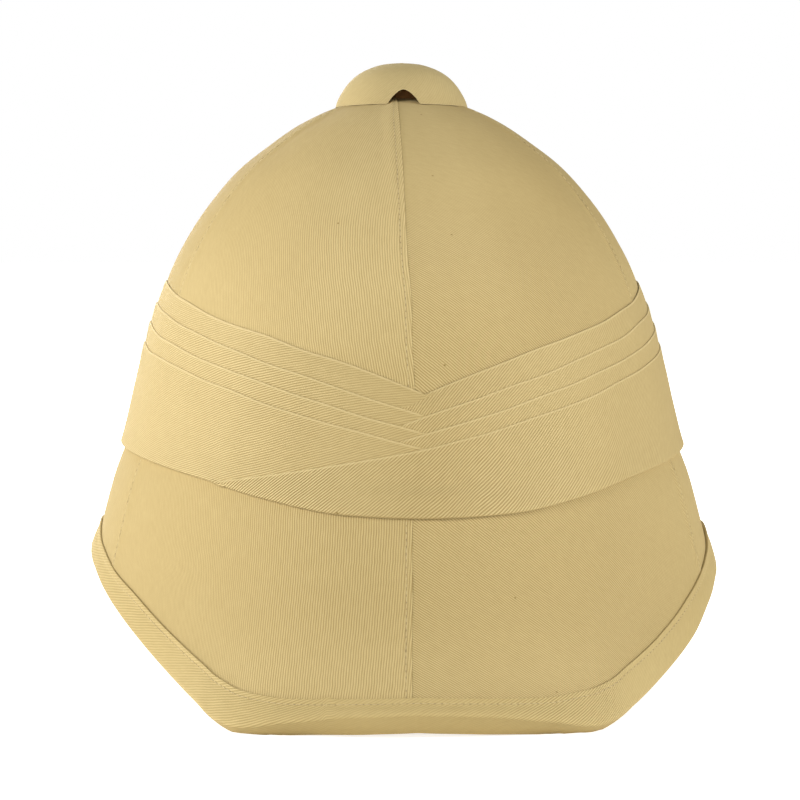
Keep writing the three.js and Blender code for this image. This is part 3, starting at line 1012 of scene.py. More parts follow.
def gores() -> tuple[Gore, ...]:
    """Return the six panels. A lean is the rise of the twill's lines by height in millimetres."""
    over, under = SeamEdge.OVER, SeamEdge.UNDER
    heights = (0, 20, 60, 80, 125, 150, 175, 186, 200, 225)
    upright = SmoothCurve(heights, (88, 85, 86, 88, 97, 96, 90, 86, 78, 70))
    slanting = SmoothCurve((0, 30, 60, 120, 150, 175, 200, 225), (148, 147, 144, 137, 142, 148, 152, 155))
    mirrored = SmoothCurve((0, 120, 225), (38, 42, 30))
    level = SmoothCurve((0, 225), (125, 118))
    return (
        Gore("panel_back_left", "cover_back_left", 0, 67.5, over, over, upright, 90, 0.3, 0.45, 0.3),
        Gore("panel_side_left", "cover_side_left", 67.5, 120, under, over, level, 122),
        Gore("panel_front_left", "cover_front_left", 120, 180, under, over, slanting, 137),
        Gore("panel_front_right", "cover_front_right", 180, 240, under, under, upright, 90),
        Gore("panel_side_right", "cover_side_right", 240, 292.5, over, under, mirrored, 38),
        Gore("panel_back_right", "cover_back_right", 292.5, 360, over, under, slanting, 137, 0.75),
    )


class Stretch(Enum):
    """Where in a panel a column of points lies."""

    START = "beside the seam at the panel's start"
    MIDDLE = "between the two seams"
    END = "beside the seam at the panel's end"


@dataclass
class ClothCover:
    """Six twill panels whose folded edges lie over each other at the seams."""

    form: HatForm
    rise: float = 0.48 * MM
    far_fade: float = 0.6
    # painted light: how much paler the back is painted just above the rim
    brim_light: float = 0.32
    allowance: float = 6.0 * MM
    stitch_in: float = 2.3 * MM
    groove: float = 0.18 * MM
    slit: float = 0.05 * MM
    crown_rows: int = 150
    brim_rows: int = 80
    edge_inset: float = 2.4 * MM
    seam_steps: tuple[float, ...] = (
        0.0, 0.12, 0.3, 0.55, 0.9, 1.35, 1.85, 2.3, 2.75, 3.25, 4.0, 5.0, 6.2, 7.6,
    )
    middle_columns: int = 26
    flare: float = 12.0
    table_rows: int = 400
    hair: float = 1e-6
    narrow: float = 46.0 * MM
    pressed: float = 0.25
    under_dip: float = 0.1 * MM
    fold_bend: float = 0.7 * MM
    fold_round: float = 0.75 * MM
    fold_lip: float = 0.15 * MM
    slack: float = 0.12 * MM
    slack_turns: float = 8.0
    unevenness: float = 0.28
    # painted light across the middle of the back high up, and painted shade on the upper flanks
    middle_light: float = 0.35
    flank_shade: float = -0.55
    path_points: int = 500
    under_binding: float = 1.0 * MM
    thread_rise: float = 0.02 * MM
    stitched_relief: float = 0.45
    shortest_run: int = 4

    def __post_init__(self) -> None:
        """Fit the wrap's top edge and its hem."""
        size = self.form.crown_height
        angles = [p.angle for p in FOLD_EDGES]
        self.wrap_top = SmoothCurve(angles, [p.edges[0] * size for p in FOLD_EDGES])
        self.wrap_hem = SmoothCurve(angles, [p.hem * size for p in FOLD_EDGES])

    def relief(self, height: Array, turn: Array) -> Array:
        """Return how much of the seam's ridge shows: little where the wrap and binding press it.

        Args:
            height: heights above the form's own zero.
            turn: degrees round the hat.

        Returns:
            Shares of the ridge, 1 where nothing lies over it.
        """
        angle = np.abs(signed_turn(turn))
        angle = np.where(angle > 90.0, 180.0 - angle, angle)
        rim = self.form.rim_height(turn) + self.form.binding_rise(turn)
        above = smooth_step(-1.0 * MM, 5.0 * MM, height - self.wrap_top(angle))
        below = smooth_step(-1.0 * MM, 5.0 * MM, self.wrap_hem(angle) - height)
        below = below * smooth_step(-1.0 * MM, 4.0 * MM, height - rim)
        return self.pressed + (1.0 - self.pressed) * np.clip(above + below, 0.0, 1.0)

    def seam_offsets(self, edge: SeamEdge, distance: Array) -> tuple[Array, Array]:
        """Return a panel's outer and inner offsets by distance from the seam.

        Args:
            edge: what the panel does at this seam.
            distance: metres from the seam.

        Returns:
            The outer offset, still to be scaled by the ridge's relief, and the inner offset.
        """
        form = self.form
        if edge is SeamEdge.UNDER:
            dip = -self.under_dip * (1.0 - smooth_step(0.2 * MM, 1.6 * MM, distance))
            return dip, np.full(distance.shape, -form.cloth)
        bend = self.fold_bend
        fold = np.sqrt(np.clip(1.0 - ((bend - distance) / self.fold_round) ** 2, 0.0, 1.0))
        fold = np.where(distance >= bend, 1.0, fold)
        fade = 1.0 - smooth_step(self.allowance * 0.6, self.allowance * 1.25, distance)
        ridge = self.rise * fold * fade - self.groove * bump_at(distance, self.stitch_in, 0.55 * MM)
        ridge = np.where(distance < bend, np.maximum(ridge, self.fold_lip), ridge)
        lift = 1.0 - smooth_step(0.35 * MM, 0.6 * MM, distance)
        inner = -form.cloth + (form.cloth + 0.06 * MM) * lift
        return ridge, inner

    def seam_distances(self, edge: SeamEdge) -> Array:
        """Return how far a panel's columns beside a seam lie from it, a hair more from each to the next."""
        steps = np.array(self.seam_steps) * MM
        if edge is SeamEdge.UNDER:
            steps = np.maximum(steps, self.slit)
        return steps + np.linspace(0, self.hair, len(steps))

    def squeeze(self, gore: Gore, levels: Array) -> Array:
        """Return how much a panel's seam allowances narrow where the whole panel is narrow."""
        width = self.form.metric((gore.start + gore.end) / 2, levels) * (gore.end - gore.start)
        return np.minimum(1.0, width / self.narrow)

    def crown_levels(self, gore: Gore) -> Array:
        """Return the levels of a panel's rows above the flare, even along its middle."""
        levels = np.linspace(self.form.vent_level, self.flare, self.table_rows)
        length = path_length(self.form.point((gore.start + gore.end) / 2, levels), 0)
        return np.interp(np.linspace(0.0, 1.0, self.crown_rows) * length[-1], length, levels)

    def column(self, gore: Gore, stretch: Stretch, value: float, crown: Array) -> tuple[Array, ...]:
        """Lay out one column of a panel's points, from the ventilation hole to the rim.

        Args:
            gore: which panel.
            stretch: where in the panel the column lies.
            value: metres from the seam, or the share of the way between the two stretches.
            crown: levels of the rows above the flare.

        Returns:
            Turns, levels, outer offsets and inner offsets.
        """
        form, flare = self.form, self.flare
        across = gore.start + (gore.end - gore.start) * value
        lead = {Stretch.START: gore.start, Stretch.END: gore.end}.get(stretch, across)
        edge = float(form.level_at(form.rim_height(lead) + self.edge_inset))
        brim = flare + (edge - flare) * np.linspace(0.0, 1.0, self.brim_rows + 1)[1:]
        levels = np.concatenate([crown, brim])
        squeeze = self.squeeze(gore, levels)
        start, start_metric = form.seam_turn(gore.start, levels), form.metric(gore.start, levels)
        end, end_metric = form.seam_turn(gore.end, levels), form.metric(gore.end, levels)
        if stretch is Stretch.START:
            turns = start + value * squeeze / start_metric
            outer, inner = self.seam_offsets(gore.start_edge, np.full(levels.shape, value))
        elif stretch is Stretch.END:
            turns = end - value * squeeze / end_metric
            outer, inner = self.seam_offsets(gore.end_edge, np.full(levels.shape, value))
        else:
            reach = self.seam_steps[-1] * MM + self.hair
            first = start + reach * squeeze / start_metric
            last = end - reach * squeeze / end_metric
            turns = first + (last - first) * value
            outer, inner = np.zeros(levels.shape), np.full(levels.shape, -form.cloth)
        edge_now = form.level_at(form.rim_height(turns) + self.edge_inset)
        fitted = flare + (edge_now - flare) * (levels - flare) / (edge - flare)
        return turns, np.where(levels > flare, fitted, levels), outer, inner

    def tones(self, gore: Gore, height: Array, turn: Array) -> tuple[Array, Array]:
        """Find how plainly a panel's weave shows, and its painted light and shade. Heights here are in
        millimetres.

        Args:
            gore: which panel.
            height: heights above the form's own zero.
            turn: degrees round the hat.

        Returns:
            How plainly the weave shows, and the painted light: lighter just above the rim at the back and
            across the middle high up, darker as painted shade on the upper flanks.
        """
        side = np.abs(signed_turn(turn))
        nap = 1.0 - smooth_step(176.0, 205.0, height) * gore.top_fade
        nap = nap * (1.0 - gore.side_fade * (0.35 + 0.65 * smooth_step(16.0, 42.0, side)))
        nap = nap * (1.0 - self.far_fade * smooth_step(38.0, 60.0, side))
        # painted light low at the back and across the middle high up, painted shade on the upper flanks, and
        # the panel's own painted light
        above_rim = height - self.form.rim_height(turn) / MM
        painted_pale = self.brim_light * (1.0 - smooth_step(14.0, 42.0, above_rim))
        painted_pale = painted_pale * (1.0 - smooth_step(26.0, 46.0, side))
        middle = self.middle_light * smooth_step(125.0, 175.0, height) * (1.0 - smooth_step(14.0, 32.0, side))
        flank_dark = self.flank_shade * smooth_step(160.0, 210.0, height) * smooth_step(30.0, 60.0, side)
        return nap, gore.panel_light * smooth_step(118.0, 150.0, height) + painted_pale + middle + flank_dark

    def panel(self, gore: Gore, wardrobe: Wardrobe) -> bpy.types.Object:
        """Build one panel.

        Args:
            gore: which panel.
            wardrobe: the materials.

        Returns:
            The panel.
        """
        form, crown = self.form, self.crown_levels(gore)
        shares = np.linspace(0.0, 1.0, self.middle_columns + 2)[1:-1]
        plan = [(Stretch.START, d) for d in self.seam_distances(gore.start_edge)]
        plan += [(Stretch.MIDDLE, s) for s in shares]
        plan += [(Stretch.END, d) for d in self.seam_distances(gore.end_edge)[::-1]]
        columns = [self.column(gore, stretch, value, crown) for stretch, value in plan]
        turns, levels, outer, inner = (np.stack(part) for part in zip(*columns))
        height = form.height(levels)
        relief = self.relief(height, turns)
        loose = ripple(turns / self.slack_turns, levels * 1.1, gore.start * 0.013)
        slack = self.slack * loose * (relief - 0.3)
        uneven = ripple(levels * 7.0, np.full(levels.shape, gore.start * 0.1), 0.4)
        swell = np.where(outer > 0, outer * relief * (1.0 + self.unevenness * uneven), outer)
        face = form.layer(turns, levels, swell + slack)
        under = form.layer(turns, levels, inner)
        points = np.concatenate([face, under[:, ::-1]], axis=1)
        # the twill is laid from the seam where this panel's edge lies on top, the back seam last
        across = path_length(face, 0)
        from_start = gore.start_edge is SeamEdge.OVER and gore.end < 360.0
        right = (0.0 if from_start else across[-1:]) - across
        cloth = twill_uv(right, path_length(face, 1), gore.lean(height / MM), gore.mean_lean)
        uv = np.concatenate([cloth, cloth[:, ::-1], cloth[:, :1]], axis=1)
        tones = self.tones(gore, height / MM, turns)
        nap, rub = (np.concatenate([tone, tone[:, ::-1]], axis=1) for tone in tones)
        piece = body_mesh(gore.name, Sections(points, uv, False, nap, rub))
        wardrobe.dress(piece, "cover_twill")
        settle(piece, gore.node)
        FlatCut.of(face).declare(piece, "stretched")
        return piece

    def stitch_runs(self, gore: Gore, seam: float, way: int) -> list[tuple[Array, Array]]:
        """Find the stitches beside one seam of a panel.

        Args:
            gore: which panel.
            seam: the seam's turn in the plan of the panels.
            way: 1 if the panel lies after the seam, -1 if before it.

        Returns:
            Points and the cloth's normals of each run that nothing covers.
        """
        form = self.form
        rim = float(form.rim_height(seam) + form.binding_rise(seam)) - self.under_binding
        levels = np.linspace(form.vent_level, float(form.level_at(rim)), self.path_points)
        inset = way * self.stitch_in * self.squeeze(gore, levels) / form.metric(seam, levels)
        turns = form.seam_turn(seam, levels) + inset
        relief = self.relief(form.height(levels), turns)
        places = form.layer(turns, levels, (self.rise - self.groove) * relief + self.thread_rise)
        normals = form.normal(turns, levels)
        shown = relief > self.stitched_relief
        cut = np.flatnonzero(np.diff(shown.astype(int)) != 0) + 1
        runs = [run for run in np.split(np.arange(len(levels)), cut) if shown[run[0]]]
        return [(places[run], normals[run]) for run in runs if len(run) > self.shortest_run]

    def stitch_paths(self) -> list[tuple[Array, Array]]:
        """Return the paths of the stitch lines beside the seams, with the cloth's normals."""
        paths = []
        for gore in gores():
            for seam, edge, way in ((gore.start, gore.start_edge, 1), (gore.end, gore.end_edge, -1)):
                if edge is SeamEdge.OVER:
                    paths += self.stitch_runs(gore, seam, way)
        return paths

    def build(self, wardrobe: Wardrobe) -> list[bpy.types.Object]:
        """Build all the panels."""
        return [self.panel(gore, wardrobe) for gore in gores()]


@dataclass(frozen=True)
class TwillPoint:
    """How steeply the binding's twill lines rise to the right at a turn, and how plainly they show."""

    turn: float
    rise_deg: float
    nap: float


BINDING_TWILL = (
    TwillPoint(-180, 55, 0.7),
    TwillPoint(-90, 52, 0.45),
    TwillPoint(-45, 48, 0.4),
    TwillPoint(-36, 44, 0.5),
    TwillPoint(-30, 39, 1.2),
    TwillPoint(-23, 29, 1.3),
    TwillPoint(-13, 29, 0.85),
    TwillPoint(-6, 29, 0.6),
    TwillPoint(9, 29, 0.5),
    TwillPoint(17, 24.5, 1.0),
    TwillPoint(24, 20, 1.2),
    TwillPoint(31, 10, 1.05),
    TwillPoint(40, 8, 0.65),
    TwillPoint(60, 6, 0.8),
    TwillPoint(90, 4, 0.5),
    TwillPoint(180, 4, 0.7),
)
# rows on the strip's outside, above its bottom corner, that show their weave in full
FACE_ROWS = 21


@dataclass
class RimBinding:
    """The strip of twill folded round the brim's thick edge."""

    form: HatForm
    columns: int = 1440
    thickness: float = 1.2 * MM
    edge_thickness: float = 1.7 * MM
    corner_flat: float = 2.4 * MM
    stitch_in: float = 2.5 * MM
    stitch_pitch: float = 2.6 * MM
    corner_round: float = 1.2 * MM
    full_lip: float = 0.55 * MM
    pressed: float = 0.68 * MM
    middle_sag: float = 1.9 * MM
    pucker_turn: float = 13.7
    pucker: float = 1.0 * MM
    least_wall: float = 0.4 * MM
    corner_light: float = 0.4
    hidden_nap: float = 0.35
    thread_sunk: float = 0.12 * MM
    mean_rise_deg: float = 28.0

    @property
    def outside(self) -> float:
        """Offset of the outer face."""
        return self.form.clearance + self.thickness

    @property
    def inside(self) -> float:
        """Offset of the inner face."""
        form = self.form
        return -(form.cloth + form.clearance + form.pith + form.clearance + self.thickness)

    def face_rows(self, turn: Array, steps: Array, offset: Array, height: Array) -> Array:
        """Return points at steps below the rim's edge line, at an offset.

        Args:
            turn: one turn for each section.
            steps: metres below the edge, negative above it.
            offset: metres out from the cloth.
            height: the edge's height at each turn.

        Returns:
            Points, one row for each turn.
        """
        form = self.form
        edge = form.level_at(height)
        base = form.point(turn, edge)
        flat = base + form.down(turn, edge) * steps[..., None] + form.normal(turn, edge) * offset[..., None]
        slope = -form.down(turn, edge)[..., 2]
        level = form.level_at(height - steps * slope)
        curved = form.layer(turn, level, offset)
        blend = smooth_step(1.0 * MM, 5.0 * MM, -steps)[..., None]
        return flat * (1.0 - blend) + curved * blend

    def outer_profile(
        self, rise: Array, blunt: Array, swell: Array, pull: Array, signed: Array
    ) -> tuple[Array, Array]:
        """Return the strip's outer face as steps below the edge and offsets.

        Args:
            rise: how far the strip climbs the outside at each turn.
            blunt: rise of the blunted corner for a width of 1.
            swell: small swelling of the outer face at each turn.
            pull: how hard the thread pulls the cloth down at each turn, 0 to 1.
            signed: each turn, from -180 to 180.

        Returns:
            Steps and offsets, each with a row for each turn.
        """
        out, back, flat, r = self.outside, self.inside, self.corner_flat, self.corner_round
        none = np.zeros(rise.shape)
        top = -rise
        full = self.full_lip * bump_at(-signed, 90.0, 13.0)
        sewn = none + out - self.pressed + full
        rows = [
            (top + 0.1 * MM, none + 0.1 * MM),
            (top, none + 0.42 * MM),
            (top + 0.05 * MM, none + 0.6 * MM + full * 0.5),
            (top + 0.2 * MM, sewn - 0.06 * MM),
            (top + 0.6 * MM, sewn + 0.02 * MM),
            (top + 1.3 * MM, sewn - 0.06 * MM * pull),
        ]
        # millimetres below the top edge, and how deep the furrow of the stitches is there
        furrow = ((1.75, 0.5), (2.15, 0.9), (self.stitch_in / MM, 1.0), (2.85, 0.9), (3.3, 0.45), (3.9, 0.1))
        for down, share in furrow:
            rows.append((top + down * MM, sewn - (0.08 + 0.16 * pull) * MM * share + swell * 0.3))
        furrow_end = 3.9 * MM
        for share in (0.12, 0.3, 0.5, 0.7, 0.88):
            step = top + furrow_end + np.maximum(rise - furrow_end - r, 0.3 * MM) * share
            face = sewn + (out - sewn) * share ** 0.8
            rows.append((step, face + 0.12 * MM * math.sin(math.pi * share) + swell * (0.3 + 0.7 * share)))
        for angle in (0, 25, 50, 75, 90):
            turn_in = math.radians(angle)
            fade = 1.0 - angle / 90.0
            face = out - r * (1.0 - math.cos(turn_in)) + swell * fade
            rows.append((none - r * (1.0 - math.sin(turn_in)), face))
        sag = self.middle_sag * (1.0 - smooth_step(9.0, 22.0, np.abs(signed + 0.5)))
        for share in (0.2, 0.45, 0.7, 0.9):
            offset = out - r + (back + flat - out + r) * share
            rows.append((sag * share + 0.25 * MM * math.sin(math.pi * share), none + offset))
        rows.append((sag, none + back + flat))
        rows.append((sag - blunt * flat * 0.5, none + back + flat * 0.5))
        rows.append((sag - blunt * flat * 0.92, none + back + flat * 0.08))
        rows.append((sag - blunt * flat - 0.5 * MM, none + back))
        inside_rise = self.form.binding_rise_inside
        for share in (0.25, 0.5, 0.75, 0.97):
            rows.append((-blunt * flat - (inside_rise - blunt * flat) * share, none + back))
        rows.append((none - inside_rise, none + back + 0.3 * MM))
        return np.stack([row[0] for row in rows], 1), np.stack([row[1] for row in rows], 1)

    def build(self, wardrobe: Wardrobe) -> bpy.types.Object:
        """Build the binding.

        Args:
            wardrobe: the materials.

        Returns:
            The binding.
        """
        form = self.form
        turns = 180.0 + np.arange(self.columns) * 360.0 / self.columns
        height = form.rim_height(turns)
        edge = form.level_at(height)
        normal, down = form.normal(turns, edge), form.down(turns, edge)
        blunt = np.maximum(normal[:, 2], 0.0) / -down[:, 2]
        slope = -down[:, 2]
        signed = signed_turn(turns)
        rise = form.binding_rise(turns) / slope + self.pucker * bump_at(signed, self.pucker_turn, 0.6)
        corner = bump_at(np.abs(signed), 31.0, 6.0)
        angle = np.radians(turns)
        uneven = ripple(14.0 * np.cos(angle), 14.0 * np.sin(angle), 0.3)
        swell = 0.12 * MM * corner * np.sin(angle * 95.0) + 0.1 * MM * uneven
        beside = smooth_step(48.0, 72.0, np.abs(signed)) * (1.0 - smooth_step(115.0, 140.0, np.abs(signed)))
        swell = swell + 0.5 * MM * beside
        sewn = path_length(self.stitch_line(turns)[:, None], 0)[:, 0]
        pull = 0.5 - 0.5 * np.cos(2 * math.pi * (sewn / self.stitch_pitch + 0.5))
        steps, offsets = self.outer_profile(rise, blunt, swell, pull, signed)
        grid_turns = np.broadcast_to(turns[:, None], steps.shape)
        grid_height = np.broadcast_to(height[:, None], steps.shape)
        outer = self.face_rows(grid_turns, steps, offsets, grid_height)
        outer[..., 2] = np.maximum(outer[..., 2], 0.0)
        lining = self.inside + self.thickness
        inner_rows = [
            (-rise + 0.1 * MM, form.clearance),
            (-rise * 0.6, form.clearance),
            (np.full(rise.shape, -self.edge_thickness), form.clearance),
            (np.full(rise.shape, -self.edge_thickness), lining + self.corner_flat / 2),
            (-self.edge_thickness - blunt * self.corner_flat / 2, lining),
            (np.full(rise.shape, -form.binding_rise_inside * 0.5), lining),
            (np.full(rise.shape, -form.binding_rise_inside), lining),
        ]
        in_steps = np.stack([row[0] for row in inner_rows], 1)
        in_offsets = np.stack([np.full(rise.shape, row[1]) for row in inner_rows], 1)
        in_turns = np.broadcast_to(turns[:, None], in_steps.shape)
        in_height = np.broadcast_to(height[:, None], in_steps.shape)
        inner = self.face_rows(in_turns, in_steps, in_offsets, in_height)
        inner[..., 2] = np.maximum(inner[..., 2], self.least_wall)
        points = np.concatenate([outer, inner[:, ::-1]], axis=1)
        worn = curve_of(BINDING_TWILL, "turn", "nap")
        under = np.concatenate([np.ones(FACE_ROWS), np.full(points.shape[1] - FACE_ROWS, self.hidden_nap)])
        nap = worn(signed)[:, None] * under
        # the strip is painted lighter round the brim's corners: painted light
        painted_pale = self.corner_light * (bump_at(signed, 36.0, 9.0) + bump_at(-signed, 36.0, 14.0))
        rub = painted_pale[:, None] * np.ones(points.shape[1])
        uv = self.lay_twill(outer, turns, height, inner.shape[1])
        piece = body_mesh("rim_strip", Sections(points, uv, True, nap, rub))
        wardrobe.dress(piece, "binding_twill")
        settle(piece, "rim_binding")
        FlatCut.of(np.concatenate([outer, outer[:1]])).declare(piece, "folded")
        return piece

    def lay_twill(self, outer: Array, turns: Array, height: Array, inner_count: int) -> Array:
        """Lay the twill's lines round the strip.

        Args:
            outer: points of the strip's outer face.
            turns: the turn of each section.
            height: height of the rim's edge at each turn.
            inner_count: how many points the strip's hidden face has.

        Returns:
            uv for each section and its closing copy.
        """
        loop = np.concatenate([outer, outer[:1]])
        flat = loop[:, 0].copy()
        flat[:, 2] = 0.0
        around = path_length(flat[:, None], 0)[:, 0]
        lean = curve_of(BINDING_TWILL, "turn", "rise_deg")
        slope = np.tan(np.radians(lean(np.append(turns, turns[0] + 360.0) - 360.0)))
        drift = np.concatenate([[0.0], np.cumsum(-(slope[1:] + slope[:-1]) / 2 * np.diff(around))])
        climb = path_length(loop, 1)
        top = height + self.form.binding_rise(turns)
        up = np.append(top, top[0])[:, None] - climb
        mean = math.radians(self.mean_rise_deg)
        u = math.cos(mean) * (drift[:, None] - up)
        v = -math.cos(mean) * around[:, None] + math.sin(mean) * up
        uv = np.stack([u, v], -1)
        hidden = np.repeat(uv[:, -1:], inner_count + 1, axis=1)
        return np.concatenate([uv, hidden], axis=1)

    def stitch_line(self, turns: Array) -> Array:
        """Return points of the stitch line under the strip's upper edge."""
        form = self.form
        height = form.rim_height(turns)
        slope = -form.down(turns, form.level_at(height))[:, 2]
        steps = -form.binding_rise(turns) / slope + self.stitch_in
        offset = self.outside - self.pressed - self.thread_sunk
        return self.face_rows(turns, steps, np.full(turns.shape, offset), height)

    def stitch_paths(self) -> list[tuple[Array, Array]]:
        """Return the path of the stitch line, with the cloth's normals."""
        turns = 180.0 + np.linspace(0.0, 360.0, 2 * self.columns + 1)
        edge = self.form.level_at(self.form.rim_height(turns))
        return [(self.stitch_line(turns), self.form.normal(turns, edge))]


@dataclass(frozen=True)
class FoldCloth:
    """How one fold's twill lies along it."""

    lean_deg: float
    pitch_share: float


FOLD_CLOTH = {
    Side.LEFT: (FoldCloth(27.5, 1.03), FoldCloth(28.0, 1.05), FoldCloth(32.5, 1.04), FoldCloth(32.0, 1.0)),
    Side.RIGHT: (FoldCloth(27.5, 0.97), FoldCloth(26.5, 0.97), FoldCloth(29.0, 0.97), FoldCloth(32.0, 1.02)),
}


@dataclass(frozen=True)
class NapPoint:
    """How plainly the weave shows at an angle from the crossing, 1 for fully."""

    angle: float
    left: float
    right: float
    wide_right: float


FOLD_NAP = (
    NapPoint(-45, 0.5, 0.8, 1.7),
    NapPoint(-25, 0.5, 0.8, 1.6),
    NapPoint(-9, 0.5, 0.8, 0.9),
    NapPoint(5, 0.55, 0.9, 1.0),
    NapPoint(12, 0.65, 0.95, 1.1),
    NapPoint(25, 1.05, 0.85, 1.1),
    NapPoint(36, 1.2, 0.65, 0.8),
    NapPoint(50, 1.05, 0.5, 0.5),
    NapPoint(68, 0.8, 0.3, 0.28),
    NapPoint(90, 0.65, 0.3, 0.25),
)


@dataclass(frozen=True)
class Buckle:
    """A soft hollow or swelling of the cloth: its place, its half sizes and its height."""

    turn: float
    height: float
    turn_spread: float
    height_spread: float
    size: float


RIGHT_BUCKLES = (
    Buckle(-3.0, 91.5, 9.5, 2.8, -1.0),
    Buckle(-3.0, 86.8, 9.5, 2.8, 0.7),
    Buckle(-16.5, 90.0, 4.0, 3.0, -0.7),
    Buckle(-16.5, 85.5, 5.0, 3.0, 0.5),
    Buckle(0.0, 104.0, 9.0, 5.5, -0.45),
    Buckle(-25.0, 96.0, 8.0, 5.0, 0.45),
    Buckle(24.0, 86.0, 6.0, 3.0, 0.3),
)
LEFT_BUCKLES = (
    Buckle(40.0, 104.0, 7.0, 9.0, 0.3),
    Buckle(55.0, 112.0, 6.0, 8.0, -0.3),
    Buckle(26.0, 104.0, 6.0, 6.0, 0.4),
)


@dataclass(frozen=True)
class FoldFace:
    """A fold's measures, one for each section along it.

    tall is the height of the shown band, full is 1 where the fold has its whole thickness and 0
    at its point, covered is 1 where the wide fold's foot lies under the other side's fold, crest
    is the offset under the rolled edge, lifted that of the hidden face there, and bulge how far
    the wide fold's foot stands out. low is how much lower the first fold's edge lies.
    """

    tall: Array
    full: Array
    covered: Array
    crest: float
    lifted: Array
    bulge: Array
    low: float
    last_fold: bool


